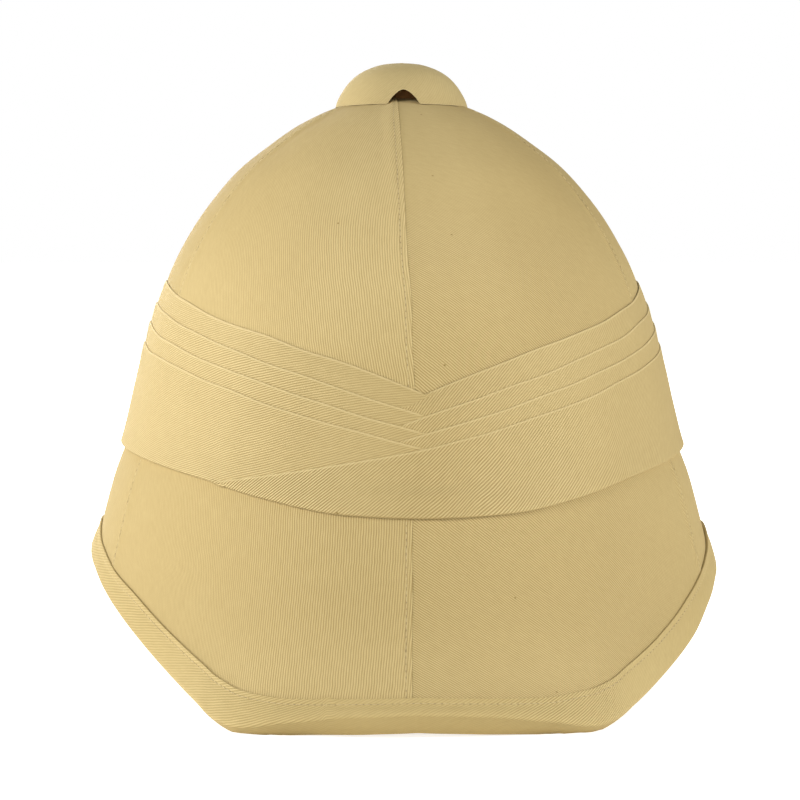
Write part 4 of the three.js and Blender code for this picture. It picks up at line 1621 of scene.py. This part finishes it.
@dataclass
class Wrap:
    """Four folds a side, tucked one under the next, that weave over each other at the crossings."""

    form: HatForm
    turn_back: float = 2.5
    tuck: float = 2.2 * MM
    first_crest: float = 0.95 * MM
    first_low: float = 0.42 * MM
    layer_step: float = 0.18 * MM
    settled: float = 0.15 * MM
    lip: float = 0.42 * MM
    lining: float = 0.35 * MM
    least: float = 0.12 * MM
    hidden_deg: float = 2.2
    step_deg: float = 1.25
    tip_width: float = 1.05 * MM
    tip_rise: float = 0.6 * MM
    tip_sunk: float = 1.3 * MM
    tip_drop: float = 0.3 * MM
    hem_bulge: float = 0.9 * MM
    softness: float = 0.1 * MM
    edge_waver: float = 0.3 * MM
    highlight_nap_loss: float = 0.55

    def __post_init__(self) -> None:
        """Fit the folded edges."""
        angles = [p.angle for p in FOLD_EDGES]
        size = self.form.crown_height
        self.edges = [SmoothCurve(angles, [p.edges[i] * size for p in FOLD_EDGES]) for i in range(FOLD_COUNT)]
        self.edges.append(SmoothCurve(angles, [p.hem * size for p in FOLD_EDGES]))
        self.nap_left = curve_of(FOLD_NAP, "angle", "left")
        self.nap_right = curve_of(FOLD_NAP, "angle", "right")
        self.nap_wide = curve_of(FOLD_NAP, "angle", "wide_right")

    def band(self, side: Side, number: int, angle: Array) -> tuple[Array, Array]:
        """Return the heights of a fold's top and of what covers its bottom.

        Args:
            side: which side the fold comes from.
            number: the fold, 0 at the top.
            angle: degrees from the crossing, on the fold's own side.

        Returns:
            Top and bottom heights.
        """
        over = number if side is Side.LEFT else number + 1
        top = self.edges[number](angle)
        hem = self.edges[FOLD_COUNT](angle)
        other = self.edges[over](-angle) if over < FOLD_COUNT else hem
        return top, np.maximum(np.maximum(self.edges[number + 1](angle), other), hem)

    def tip(self, side: Side, number: int) -> float:
        """Return the angle before the crossing at which a fold comes to its point."""
        low, high = FOLD_EDGES[0].angle, 15.0
        for _ in range(HALVINGS):
            middle = (low + high) / 2
            top, bottom = self.band(side, number, np.array(middle))
            if top - bottom > self.least:
                high = middle
            else:
                low = middle
        return high

    def crest(self, side: Side, number: int) -> float:
        """Return a fold's outer offset: each layer of the weave lies over the one before."""
        return self.first_crest + self.layer_step * (2 * number + (side is Side.RIGHT))

    def fold(self, side: Side, number: int, wardrobe: Wardrobe) -> bpy.types.Object:
        """Build one fold.

        Args:
            side: which side it comes from.
            number: the fold, 0 at the top.
            wardrobe: the materials.

        Returns:
            The fold.
        """
        form = self.form
        last_fold = number == FOLD_COUNT - 1
        tip = self.tip(side, number)
        near = tip + np.array([-1.0, -0.5, 0.0, 0.25, 0.6, 1.0, 1.5, 2.1, 2.8, 3.6, 4.6])
        near[:2] = tip - np.array([self.hidden_deg, self.hidden_deg / 2])
        middle = np.arange(near[-1] + self.step_deg, 180.0 - near[-1], self.step_deg)
        around = np.concatenate([near, middle, 180.0 - near[::-1]])
        crossing = np.where(around <= 90.0, around, 180.0 - around)
        top, bottom = self.band(side, number, crossing)
        fade = smooth_step(0.0, 12.0, crossing)
        top = top + self.waver(around, side, number) * fade
        if not last_fold:
            bottom = bottom + self.waver(around, side, number + 1) * fade
        edge_line = top
        hidden = np.clip(tip - crossing, 0.0, None)
        top = np.where(hidden > 0.0, bottom + self.least - self.tip_drop * hidden, top)
        tall = np.where(hidden > 0.0, self.least, np.maximum(top - bottom, self.least))[:, None]
        outermost = last_fold and side is Side.RIGHT
        sunk = np.zeros(hidden.shape)
        if outermost:
            top = top + np.clip(self.tip_width - tall[:, 0], 0.0, None) + self.tip_rise * hidden
            sunk = self.tip_sunk * smooth_step(0.0, 1.2, hidden)
        full = smooth_step(0.3 * MM, 2.2 * MM, tall)
        near_crossing = 1.0 - smooth_step(9.0, 16.0, crossing)[:, None]
        crest = self.crest(side, number)
        low = self.first_low if number == 0 else 0.0
        under = crest - low - self.lip
        weave = under if number == 0 else crest - 2 * self.layer_step
        lifted = under * (1.0 - near_crossing) + weave * near_crossing
        bulge = (self.hem_bulge if last_fold else 0.0) * smooth_step(30.0, 80.0, crossing)[:, None]
        hem = self.edges[FOLD_COUNT](crossing)
        covered = smooth_step(0.0, 1.5 * MM, bottom - hem)[:, None]
        face = FoldFace(tall, full, covered, crest, lifted, bulge, low, last_fold)
        steps, outs, rub = self.outer_profile(face)
        in_steps, ins = self.inner_profile(face)
        shift = -self.turn_back if side is Side.LEFT else self.turn_back
        turns = side.value * (around + shift)
        share = np.clip(steps / tall, 0.0, 1.0)
        soft = self.softness * ripple(around[:, None] / 6.0, steps / (9 * MM), number + 0.5)
        outs = outs + soft * full * np.sin(math.pi * share)
        if last_fold:
            loose = full * smooth_step(1.5 * MM, 5.0 * MM, steps)
            outs = outs + self.buckles(side, turns[:, None], top[:, None] - steps) * loose
        outs = np.maximum(outs - sunk[:, None], self.lining)
        outer = form.layer(turns[:, None], form.level_at(top[:, None] - steps), outs)
        ins = np.minimum(ins, outs.min(1)[:, None])
        inner = form.layer(turns[:, None], form.level_at(top[:, None] - in_steps), ins)
        points = np.concatenate([outer, inner[:, ::-1]], axis=1)
        uv_outer = self.lay_twill(outer, turns, edge_line, side, FOLD_CLOTH[side][number])
        hidden_uv = np.repeat(uv_outer[:, -1:], inner.shape[1] + 1, axis=1)
        uv = np.concatenate([uv_outer, hidden_uv], axis=1)
        # the weave evens out under the painted highlight, and the side's painted light and shade is added
        nap = self.nap(side, number, crossing)[:, None] * (1.0 - self.highlight_nap_loss * rub)
        rub = rub + self.tone(side, crossing)[:, None]
        nap = np.concatenate([nap, np.ones(inner.shape[:2])], axis=1)
        rub = np.concatenate([rub, np.zeros(inner.shape[:2])], axis=1)
        if side is Side.RIGHT:
            points, uv, nap, rub = points[::-1], uv[::-1], nap[::-1], rub[::-1]
        name = f"fold_{side.name.lower()}_{number + 1}"
        piece = body_mesh(name, Sections(points, uv, False, nap, rub), 50.0)
        wardrobe.dress(piece, "wrap_twill")
        settle(piece, f"wrap_{side.name.lower()}_fold_{number + 1}")
        FlatCut.of(outer).declare(piece, "folded")
        return piece

    def waver(self, around: Array, side: Side, number: int) -> Array:
        """Return the small unevenness of a folded edge, in metres."""
        return self.edge_waver * ripple(around / 11.0, around / 17.0, number * 1.7 + side.value)

    def tone(self, side: Side, angle: Array) -> Array:
        """Return the painted light and shade of a side's cloth at an angle from the crossing: darker next to
        the crossing and on the right's far flank, lighter further round on the left and near 27 degrees on
        the right.
        """
        tone = -0.32 * bump_at(angle, 0.0, 9.0)
        if side is Side.LEFT:
            return tone + 0.4 * smooth_step(22.0, 45.0, angle)
        return tone - 0.25 * smooth_step(50.0, 80.0, angle) + 0.22 * bump_at(angle, 27.0, 12.0)

    def nap(self, side: Side, number: int, angle: Array) -> Array:
        """Return how plainly a fold's weave shows at an angle from the crossing."""
        if side is Side.LEFT:
            return self.nap_left(angle) * (0.8 if number == 0 else 1.0)
        return self.nap_wide(angle) if number == FOLD_COUNT - 1 else self.nap_right(angle)

    def outer_profile(self, face: FoldFace) -> tuple[Array, Array, Array]:
        """Return a fold's outer face: rolled top edge, slope, and the part tucked under the next.

        Args:
            face: the fold's measures at each section.

        Returns:
            Steps down from the top edge, offsets, and the painted highlight along the rolled edge.
        """
        tall, full, crest, lifted = face.tall, face.full, face.crest, face.lifted
        root = crest - self.settled
        head = root + (crest - root - face.low) * full
        roll = np.minimum(head - lifted, 0.5 * MM)
        rows = [(0.08 * MM, lifted + (head - roll - lifted) * 0.2, 0.0)]
        # the rolled edge is painted lighter: a painted highlight along the fold's crest
        for angle, rub in ((0.0, 0.2), (30.0, 0.6), (60.0, 1.0), (90.0, 1.0)):
            turn = math.radians(angle)
            rows.append((roll * (1.0 - math.cos(turn)), head - roll * (1.0 - math.sin(turn)), rub))
        start = np.maximum(roll, 0.5 * MM)
        rows.append((start + 0.15 * MM, head, 0.9))
        rows.append((start + 0.45 * MM, head + 0.02 * MM * full, 0.0))
        start = start + 0.5 * MM
        wide = (0.04, 0.1, 0.18, 0.28, 0.38, 0.48, 0.58, 0.68, 0.78, 0.88, 0.96)
        shares = wide if face.last_fold else (0.12, 0.35, 0.6, 0.85)
        foot = np.full(tall.shape, root)
        if face.last_fold:
            foot = root - 0.35 * MM + 0.25 * MM * face.covered + face.bulge
        for share in shares:
            step = start + np.maximum(tall - start - (0.5 * MM if face.last_fold else 0.0), 0.0) * share
            swell = 0.05 * MM * math.sin(math.pi * min(1.0, share * 2.5)) if share < 0.4 else 0.0
            rows.append((step, head + (foot - head) * share + swell * full, 0.0))
        end = np.maximum(tall, start + 0.02 * MM)
        if face.last_fold:
            end = end + self.tuck * face.covered
            hem = np.minimum(foot - self.lining, 0.5 * MM)
            for angle in (90.0, 60.0, 30.0, 0.0):
                turn = math.radians(angle)
                rows.append((end - hem * (1.0 - math.cos(turn)), foot - hem * (1.0 - math.sin(turn)), 0.0))
            rows.append((end, self.lining + 0.08 * MM, 0.0))
        else:
            rows.append((end, foot, 0.0))
            rows.append((end + self.tuck, foot, 0.0))
        steps, offsets, rub = side_by_side(rows, tall.shape)
        return np.maximum(steps, 0.0), offsets, rub * face.full

    def inner_profile(self, face: FoldFace) -> tuple[Array, Array]:
        """Return a fold's hidden face, lifted near the top edge over what is tucked under it.

        Args:
            face: the fold's measures at each section.

        Returns:
            Steps down from the top edge and offsets.
        """
        end = np.maximum(face.tall, 1.02 * MM) + (self.tuck * face.covered if face.last_fold else self.tuck)
        first = np.minimum(self.tuck + 0.4 * MM, end * 0.8)
        second = np.minimum(first + 0.9 * MM, end * 0.92)
        rows = [(0.12 * MM, face.lifted), (first, face.lifted), (second, self.lining), (end, self.lining)]
        steps, offsets = side_by_side(rows, face.tall.shape)
        return steps, offsets

    def buckles(self, side: Side, turn: Array, height: Array) -> Array:
        """Return the soft buckles of a side's wide fold."""
        size = np.zeros(np.broadcast(turn, height).shape)
        for b in RIGHT_BUCKLES if side is Side.RIGHT else LEFT_BUCKLES:
            across = bump_at(turn, b.turn, b.turn_spread)
            size = size + b.size * MM * across * bump_at(height, b.height * MM, b.height_spread * MM)
        return size

    def lay_twill(self, outer: Array, turns: Array, top: Array, side: Side, cloth: FoldCloth) -> Array:
        """Lay the twill's lines straight along a fold.

        Args:
            outer: points of the fold's outer face.
            turns: the turn of each section.
            top: height of the fold's top edge at each section.
            side: which side it comes from.
            cloth: how the twill lies.

        Returns:
            uv for each point.
        """
        form = self.form
        level = form.level_at(top)
        edge = form.point(turns, level)
        along = path_length(edge[:, None], 0)[:, 0]
        way = -1.0 if side is Side.LEFT else 1.0
        tangent = way * np.gradient(edge, axis=0)
        tangent /= np.maximum(np.linalg.norm(tangent, axis=-1, keepdims=True), 1e-12)
        up = -form.down(turns, level)
        slope = np.arcsin(np.clip((tangent * up).sum(-1), -1.0, 1.0))[:, None]
        down = path_length(outer, 1)
        strip = way * along[:, None] - down * np.sin(slope)
        across = -down * np.cos(slope)
        lean = math.radians(cloth.lean_deg)
        u = (math.cos(lean) * across - math.sin(lean) * strip) / cloth.pitch_share
        v = math.cos(lean) * strip + math.sin(lean) * across
        return np.stack([u, v], -1)

    def build(self, wardrobe: Wardrobe) -> list[bpy.types.Object]:
        """Build all the folds."""
        return [self.fold(side, number, wardrobe) for side in Side for number in range(FOLD_COUNT)]


@dataclass(frozen=True)
class CapPoint:
    """One place of the cap's outline, as shares of its radius and height."""

    radius: float
    height: float


CAP_OUTLINE = (
    CapPoint(1.0, 0.0),
    CapPoint(0.965, 0.16),
    CapPoint(0.9, 0.34),
    CapPoint(0.815, 0.52),
    CapPoint(0.69, 0.7),
    CapPoint(0.5, 0.86),
    CapPoint(0.26, 0.965),
    CapPoint(0.0, 1.0),
)


@dataclass(frozen=True)
class RingPoint:
    """One place of the ring's section in millimetres, from the ring's top or from the crown."""

    radius: float
    height: float
    on_crown: bool = False


RING_SECTION = (
    RingPoint(11.1, -0.6, True),
    RingPoint(11.1, -0.4),
    RingPoint(11.3, -0.1),
    RingPoint(11.9, 0.0),
    RingPoint(12.9, -0.05),
    RingPoint(13.4, -0.3),
    RingPoint(13.6, -0.9),
    RingPoint(13.6, -0.6, True),
)


@dataclass
class Ventilator:
    """The hollow domed cap over the ventilation hole, with an air arch at back and front."""

    form: HatForm
    wall: float = 2.0 * MM
    arch_width: float = 13.6 * MM
    arch_height: float = 6.9 * MM
    rows: int = 40
    row_power: float = 1.25
    fine_rows: int = 2001
    apex_gap: float = 0.004
    ring_columns: int = 96
    ring_height: float = 3.4 * MM

    def arch(self, x: Array) -> Array:
        """Return how far the rim is cut up at a place, as a height above the cap's base."""
        share = np.clip(1.0 - (np.abs(x) / (self.arch_width / 2)) ** 1.7, 0.0, 1.0)
        return self.arch_height * share ** 0.72

    def columns(self) -> Array:
        """Return the turns of the cap's sections in degrees, closest at the arches' corners."""
        half_arch = math.degrees(math.asin(self.arch_width / 2 / self.form.cap_radius))
        inside = np.linspace(0.0, half_arch, 15)[:-1]
        corner = half_arch + np.array([0.0, 0.35, 0.8, 1.5, 2.6, 4.2])
        quarter = np.concatenate([inside, corner, np.linspace(half_arch + 7.0, 90.0, 22)])
        half = np.concatenate([quarter, 180.0 - quarter[-2::-1]])
        return np.concatenate([half, 180.0 + half[1:-1]])

    def wall_face(self, turns: Array, depth: float) -> Array:
        """Lay out one face of the cap's wall.

        Args:
            turns: the turn of each section.
            depth: how deep in the wall the face lies.

        Returns:
            Points (turns, rows from the apex down to the rim, 3).
        """
        form, angle = self.form, np.radians(turns)
        places = np.linspace(0.0, 1.0, len(CAP_OUTLINE))
        outline = SmoothCurve(places, [p.radius for p in CAP_OUTLINE])
        climb = SmoothCurve(places, [p.height for p in CAP_OUTLINE])
        fine = np.linspace(0.0, 1.0, self.fine_rows)
        base = float(form.crown_at(form.cap_radius, 0.0))
        radius, height = form.cap_radius - depth, form.cap_height - depth
        z_table = base + climb(fine) * height
        foot = radius * np.sin(angle)
        seat = form.crown_at(foot, radius * np.cos(angle)) + form.clearance
        cut = np.maximum(seat, base + self.arch(foot))
        low = np.where(np.abs(foot) < self.arch_width / 2, cut, seat)
        start = np.interp(low, z_table, fine)[:, None]
        share = start + (1.0 - start) * np.linspace(0.0, 1.0, self.rows) ** self.row_power
        share[:, -1] = 1.0 - self.apex_gap
        r = np.interp(share, fine, outline(fine) * radius)
        z = np.interp(share, fine, z_table)
        z[:, 0] = np.where(low < base, low, z[:, 0])
        z = np.maximum(z, np.minimum(seat[:, None], base))
        face = np.stack([r * np.sin(angle)[:, None], r * np.cos(angle)[:, None], z], -1)
        return face[:, ::-1] + form.shift

    def build(self, wardrobe: Wardrobe) -> bpy.types.Object:
        """Build the cap.

        Args:
            wardrobe: the materials.

        Returns:
            The cap.
        """
        turns = self.columns()
        outer, inner = self.wall_face(turns, 0.0), self.wall_face(turns, self.wall)
        points = np.concatenate([outer, inner[:, ::-1]], axis=1)
        spread = np.concatenate([turns, [360.0]]) / 360.0
        down = path_length(outer, 1)
        down = np.concatenate([down, down[:1]])
        right = -spread[:, None] * 2 * math.pi * self.form.cap_radius * np.ones_like(down)
        uv_outer = np.stack([right * 0.7 + down * 0.7, right * 0.7 - down * 0.7], -1)
        hidden = np.repeat(uv_outer[:, -1:], inner.shape[1] + 1, axis=1)
        # the rows round the arches' edge are painted lighter: a painted highlight
        rub = np.zeros(points.shape[:2])
        rub[:, self.rows - 1] = 0.8
        rub[:, self.rows - 2] = 0.4
        uv = np.concatenate([uv_outer, hidden], axis=1)
        piece = body_mesh("cap_dome", Sections(points, uv, True, None, rub))
        self.close_poles(piece)
        wardrobe.dress(piece, "cap_twill")
        settle(piece, "vent_cap")
        return piece

    def ring(self, wardrobe: Wardrobe) -> bpy.types.Object:
        """Build the low ring round the ventilation hole, seen inside the arch; its dark colour is painted
        shade.

        Args:
            wardrobe: the materials.

        Returns:
            The ring.
        """
        form = self.form
        angle = np.radians(np.arange(self.ring_columns) * 360.0 / self.ring_columns)
        top = float(form.crown_at(form.vent_radius, 0.0)) + self.ring_height
        rows = []
        for point in RING_SECTION:
            x, y = point.radius * MM * np.sin(angle), point.radius * MM * np.cos(angle)
            foot = form.crown_at(x, y) if point.on_crown else top
            z = np.broadcast_to(foot + point.height * MM, x.shape)
            rows.append(np.stack([x, y, z], -1) + form.shift)
        uv = np.zeros((self.ring_columns + 1, len(RING_SECTION) + 1, 2))
        piece = body_mesh("vent_ring", Sections(np.stack(rows, 1), uv, True))
        wardrobe.dress(piece, "vent_ring")
        settle(piece)
        return piece

    def close_poles(self, piece: bpy.types.Object) -> None:
        """Remove the ring between the two apexes and close each of them."""
        work = bmesh.new()
        work.from_mesh(piece.data)
        work.verts.ensure_lookup_table()
        count = self.rows * 2
        tops = {v.index for v in work.verts if v.index % count in (0, count - 1)}
        bad = [f for f in work.faces if all(v.index in tops for v in f.verts)]
        bmesh.ops.delete(work, geom=bad, context="FACES_ONLY")
        border = [e for e in work.edges if e.is_boundary]
        bmesh.ops.holes_fill(work, edges=border, sides=0)
        work.normal_update()
        work.to_mesh(piece.data)
        work.free()


@dataclass
class Stitching:
    """Rows of short thread stitches laid along paths by a geometry tree, with a dark dot of painted shade
    between each two.
    """

    length: float = 1.9 * MM
    radius: float = 0.17 * MM
    pitch: float = 2.6 * MM
    hole: tuple[float, float, float] = (0.42 * MM, 0.2 * MM, 0.12 * MM)
    segments: int = 8
    rings: int = 6
    shortest: float = 0.88
    longest: float = 1.1
    seed: int = 7

    def tree(self) -> bpy.types.GeometryNodeTree:
        """Build the tree that lays one stitch at each step of a path.

        Returns:
            The tree, with named inputs for its sizes and its material.
        """
        tree = bpy.data.node_groups.new("lay_stitches", "GeometryNodeTree")
        face = tree.interface
        face.new_socket("Geometry", in_out="INPUT", socket_type="NodeSocketGeometry")
        for name, value in (("Pitch", self.pitch), ("Length", self.length), ("Radius", self.radius)):
            face.new_socket(name, in_out="INPUT", socket_type="NodeSocketFloat").default_value = value
        for name in ("Thread", "Hole"):
            face.new_socket(name, in_out="INPUT", socket_type="NodeSocketMaterial")
        face.new_socket("Geometry", in_out="OUTPUT", socket_type="NodeSocketGeometry")
        n = Nodes(tree)
        given = n.add("NodeGroupInput").outputs
        curve = n.fed("GeometryNodeMeshToCurve", {"Mesh": given["Geometry"]}).outputs["Curve"]
        dots = n.fed("GeometryNodeCurveToPoints", {"Curve": curve, "Length": given["Pitch"]}, mode="LENGTH")
        facets = {"Segments": self.segments, "Rings": self.rings, "Radius": 1.0}
        ball = n.fed("GeometryNodeMeshUVSphere", facets)
        half = n.math("MULTIPLY", given["Length"], 0.5)
        size = n.fed("ShaderNodeCombineXYZ", {"X": half, "Y": given["Radius"], "Z": given["Radius"]})
        thread = {"Geometry": ball.outputs["Mesh"], "Scale": size.outputs[0]}
        # a dark flat dot halfway between stitches, painted shade for the needle hole
        step = n.fed("ShaderNodeCombineXYZ", {"X": n.math("MULTIPLY", given["Pitch"], 0.5)})
        hole = {"Geometry": ball.outputs["Mesh"], "Scale": self.hole, "Translation": step.outputs[0]}
        pair = n.add("GeometryNodeJoinGeometry")
        for shape, material in ((thread, "Thread"), (hole, "Hole")):
            formed = n.fed("GeometryNodeTransform", shape).outputs["Geometry"]
            dressed = n.fed("GeometryNodeSetMaterial", {"Geometry": formed, "Material": given[material]})
            n.feed(pair, "Geometry", dressed.outputs["Geometry"])
        stitch = n.fed("GeometryNodeSetShadeSmooth", {"Geometry": pair.outputs["Geometry"]})
        lift = n.fed("GeometryNodeInputNamedAttribute", {"Name": "lift"}, data_type="FLOAT_VECTOR")
        axes = {0: dots.outputs["Tangent"], 1: lift.outputs[0]}
        turn = n.fed("FunctionNodeAxesToRotation", axes, primary_axis="X", secondary_axis="Z")
        limits = {2: self.shortest, 3: self.longest, "Seed": self.seed}
        place = {
            "Points": dots.outputs["Points"],
            "Instance": stitch.outputs["Geometry"],
            "Rotation": turn.outputs[0],
            "Scale": n.fed("FunctionNodeRandomValue", limits, data_type="FLOAT").outputs[1],
        }
        placed = n.fed("GeometryNodeInstanceOnPoints", place).outputs["Instances"]
        real = n.fed("GeometryNodeRealizeInstances", {"Geometry": placed})
        n.fed("NodeGroupOutput", {"Geometry": real.outputs["Geometry"]})
        return tree

    def sew(
        self,
        name: str,
        paths: list[tuple[Array, Array]],
        tree: bpy.types.GeometryNodeTree,
        wardrobe: Wardrobe,
    ) -> bpy.types.Object:
        """Lay stitches along paths.

        Args:
            name: the new piece's name.
            paths: points and normals of each path.
            tree: the stitch tree.
            wardrobe: the materials.

        Returns:
            The stitches as one mesh.
        """
        points, lifts, edges = [], [], []
        for places, normals in paths:
            start = len(points)
            points += places.tolist()
            lifts += normals.tolist()
            edges += [(start + i, start + i + 1) for i in range(len(places) - 1)]
        mesh = bpy.data.meshes.new(name + "_path")
        mesh.from_pydata(points, edges, [])
        attribute = mesh.attributes.new("lift", "FLOAT_VECTOR", "POINT")
        attribute.data.foreach_set("vector", np.asarray(lifts, dtype=np.float32).ravel())
        path = bpy.data.objects.new(name + "_path", mesh)
        bpy.context.scene.collection.objects.link(path)
        modifier = path.modifiers.new("stitches", "NODES")
        modifier.node_group = tree
        values = {"Pitch": self.pitch, "Length": self.length, "Radius": self.radius}
        values["Thread"] = wardrobe.made["thread"]
        values["Hole"] = wardrobe.made["needle_hole_shade"]
        for item in tree.interface.items_tree:
            if item.item_type == "SOCKET" and item.in_out == "INPUT" and item.name in values:
                modifier[item.identifier] = values[item.name]
        depsgraph = bpy.context.evaluated_depsgraph_get()
        result = bpy.data.meshes.new_from_object(path.evaluated_get(depsgraph), depsgraph=depsgraph)
        result.name = name
        bpy.data.objects.remove(path)
        piece = bpy.data.objects.new(name, result)
        bpy.context.scene.collection.objects.link(piece)
        return piece


@dataclass(frozen=True)
class Lamp:
    """A soft square lamp: where it hangs, its side in metres and its watts."""

    name: str
    place: tuple[float, float, float]
    size: float
    power: float


LAMPS = (
    Lamp("left", (2.6, 0.75, 0.55), 1.5, 12.0),
    Lamp("right", (-2.6, 0.75, 0.55), 1.5, 61.0),
    Lamp("fill", (0.4, 3.0, 0.25), 1.6, 16.0),
    Lamp("high", (1.6, 2.0, 1.7), 1.2, 43.0),
    Lamp("edge", (2.6, -0.5, 0.4), 1.2, 55.0),
    Lamp("front", (0.6, -3.0, 1.0), 1.6, 60.0),
)


@dataclass
class Studio:
    """Pale floor, soft light and the camera at the photograph's angle."""

    aim: tuple[float, float, float]
    elevation: float = 3.0
    bearing: float = 2.0
    distance: float = 1.4
    lens: float = 153.0
    shift: float = -0.001875
    ambient: float = 0.36
    floor_glow: float = 0.18
    floor_seen: float = 0.76
    floor_reach: float = 14.0
    floor_colour: tuple[float, float, float, float] = (0.93, 0.93, 0.92, 1.0)
    floor_light: tuple[float, float, float, float] = (1.0, 0.98, 0.8, 1.0)
    sky_light: tuple[float, float, float, float] = (0.98, 1.0, 0.86, 1.0)

    def camera(self) -> None:
        """Place the camera behind the hat."""
        data = bpy.data.cameras.new("camera")
        data.lens = self.lens
        data.sensor_width = 36.0
        data.shift_x = self.shift
        data.clip_end = 100.0
        rise, side = math.radians(self.elevation), math.radians(self.bearing)
        back = Vector((math.sin(side) * math.cos(rise), math.cos(side) * math.cos(rise), math.sin(rise)))
        camera = bpy.data.objects.new("camera", data)
        camera.location = Vector(self.aim) + back * self.distance
        camera.rotation_euler = (-back).to_track_quat("-Z", "Y").to_euler()
        bpy.context.scene.collection.objects.link(camera)
        bpy.context.scene.camera = camera

    def floor(self) -> None:
        """Lay a pale floor that is not part of the hat."""
        mesh = bpy.data.meshes.new("floor")
        reach = self.floor_reach
        corners = [(-reach, -reach, 0), (reach, -reach, 0), (reach, reach, 0), (-reach, reach, 0)]
        mesh.from_pydata(corners, [], [(0, 1, 2, 3)])
        floor = bpy.data.objects.new("floor", mesh)
        material, n = new_material("floor_pale")
        seen = n.add("ShaderNodeLightPath").outputs["Is Camera Ray"]
        looks = {
            "Base Color": self.floor_colour,
            "Roughness": 0.9,
            "Specular IOR Level": 0.1,
            "Emission Color": n.mix(seen, self.floor_light, WHITE),
            "Emission Strength": n.range(seen, 0.0, 1.0, self.floor_glow, self.floor_seen),
        }
        n.surface(looks)
        mesh.materials.append(material)
        bpy.context.scene.collection.objects.link(floor)

    def lamp(self, lamp: Lamp) -> None:
        """Hang a soft square lamp that faces the hat."""
        data = bpy.data.lights.new(lamp.name, "AREA")
        data.size = lamp.size
        data.energy = lamp.power
        holder = bpy.data.objects.new(lamp.name, data)
        holder.location = lamp.place
        holder.rotation_euler = (Vector(self.aim) - Vector(lamp.place)).to_track_quat("-Z", "Y").to_euler()
        bpy.context.scene.collection.objects.link(holder)

    def build(self) -> None:
        """Set up the whole studio."""
        self.camera()
        self.floor()
        world = bpy.data.worlds.new("studio")
        world.use_nodes = True
        n = Nodes(world.node_tree)
        seen = n.add("ShaderNodeLightPath").outputs["Is Camera Ray"]
        light = {
            "Strength": n.range(seen, 0.0, 1.0, self.ambient, 1.0),
            "Color": n.mix(seen, self.sky_light, WHITE),
        }
        shade = n.fed("ShaderNodeBackground", light)
        n.fed("ShaderNodeOutputWorld", {"Surface": shade.outputs["Background"]})
        bpy.context.scene.world = world
        for lamp in LAMPS:
            self.lamp(lamp)
        bpy.context.scene.view_settings.view_transform = "Standard"
        bpy.context.scene.view_settings.exposure = 0.0


def main() -> None:
    """Build the hat over its frame, in order."""
    logging.basicConfig(level=logging.INFO, format="%(name)s %(message)s")
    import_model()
    form = HatForm()
    aim = form.shift + np.array([0.0, 0.0, AIM_HEIGHT])
    Studio(tuple(float(c) for c in aim)).build()
    wardrobe = Wardrobe()
    PithBody(form).build(wardrobe)
    cover = ClothCover(form)
    cover.build(wardrobe)
    binding = RimBinding(form)
    binding.build(wardrobe)
    Wrap(form).build(wardrobe)
    ventilator = Ventilator(form)
    ventilator.build(wardrobe)
    ventilator.ring(wardrobe)
    stitching = Stitching()
    tree = stitching.tree()
    for name, paths, slot in (
        ("seam_stitches", cover.stitch_paths(), "cover_cloth"),
        ("rim_stitches", binding.stitch_paths(), "binding_cloth"),
    ):
        piece = stitching.sew(name, paths, tree, wardrobe)
        settle(piece)


if __name__ == "__main__":
    main()
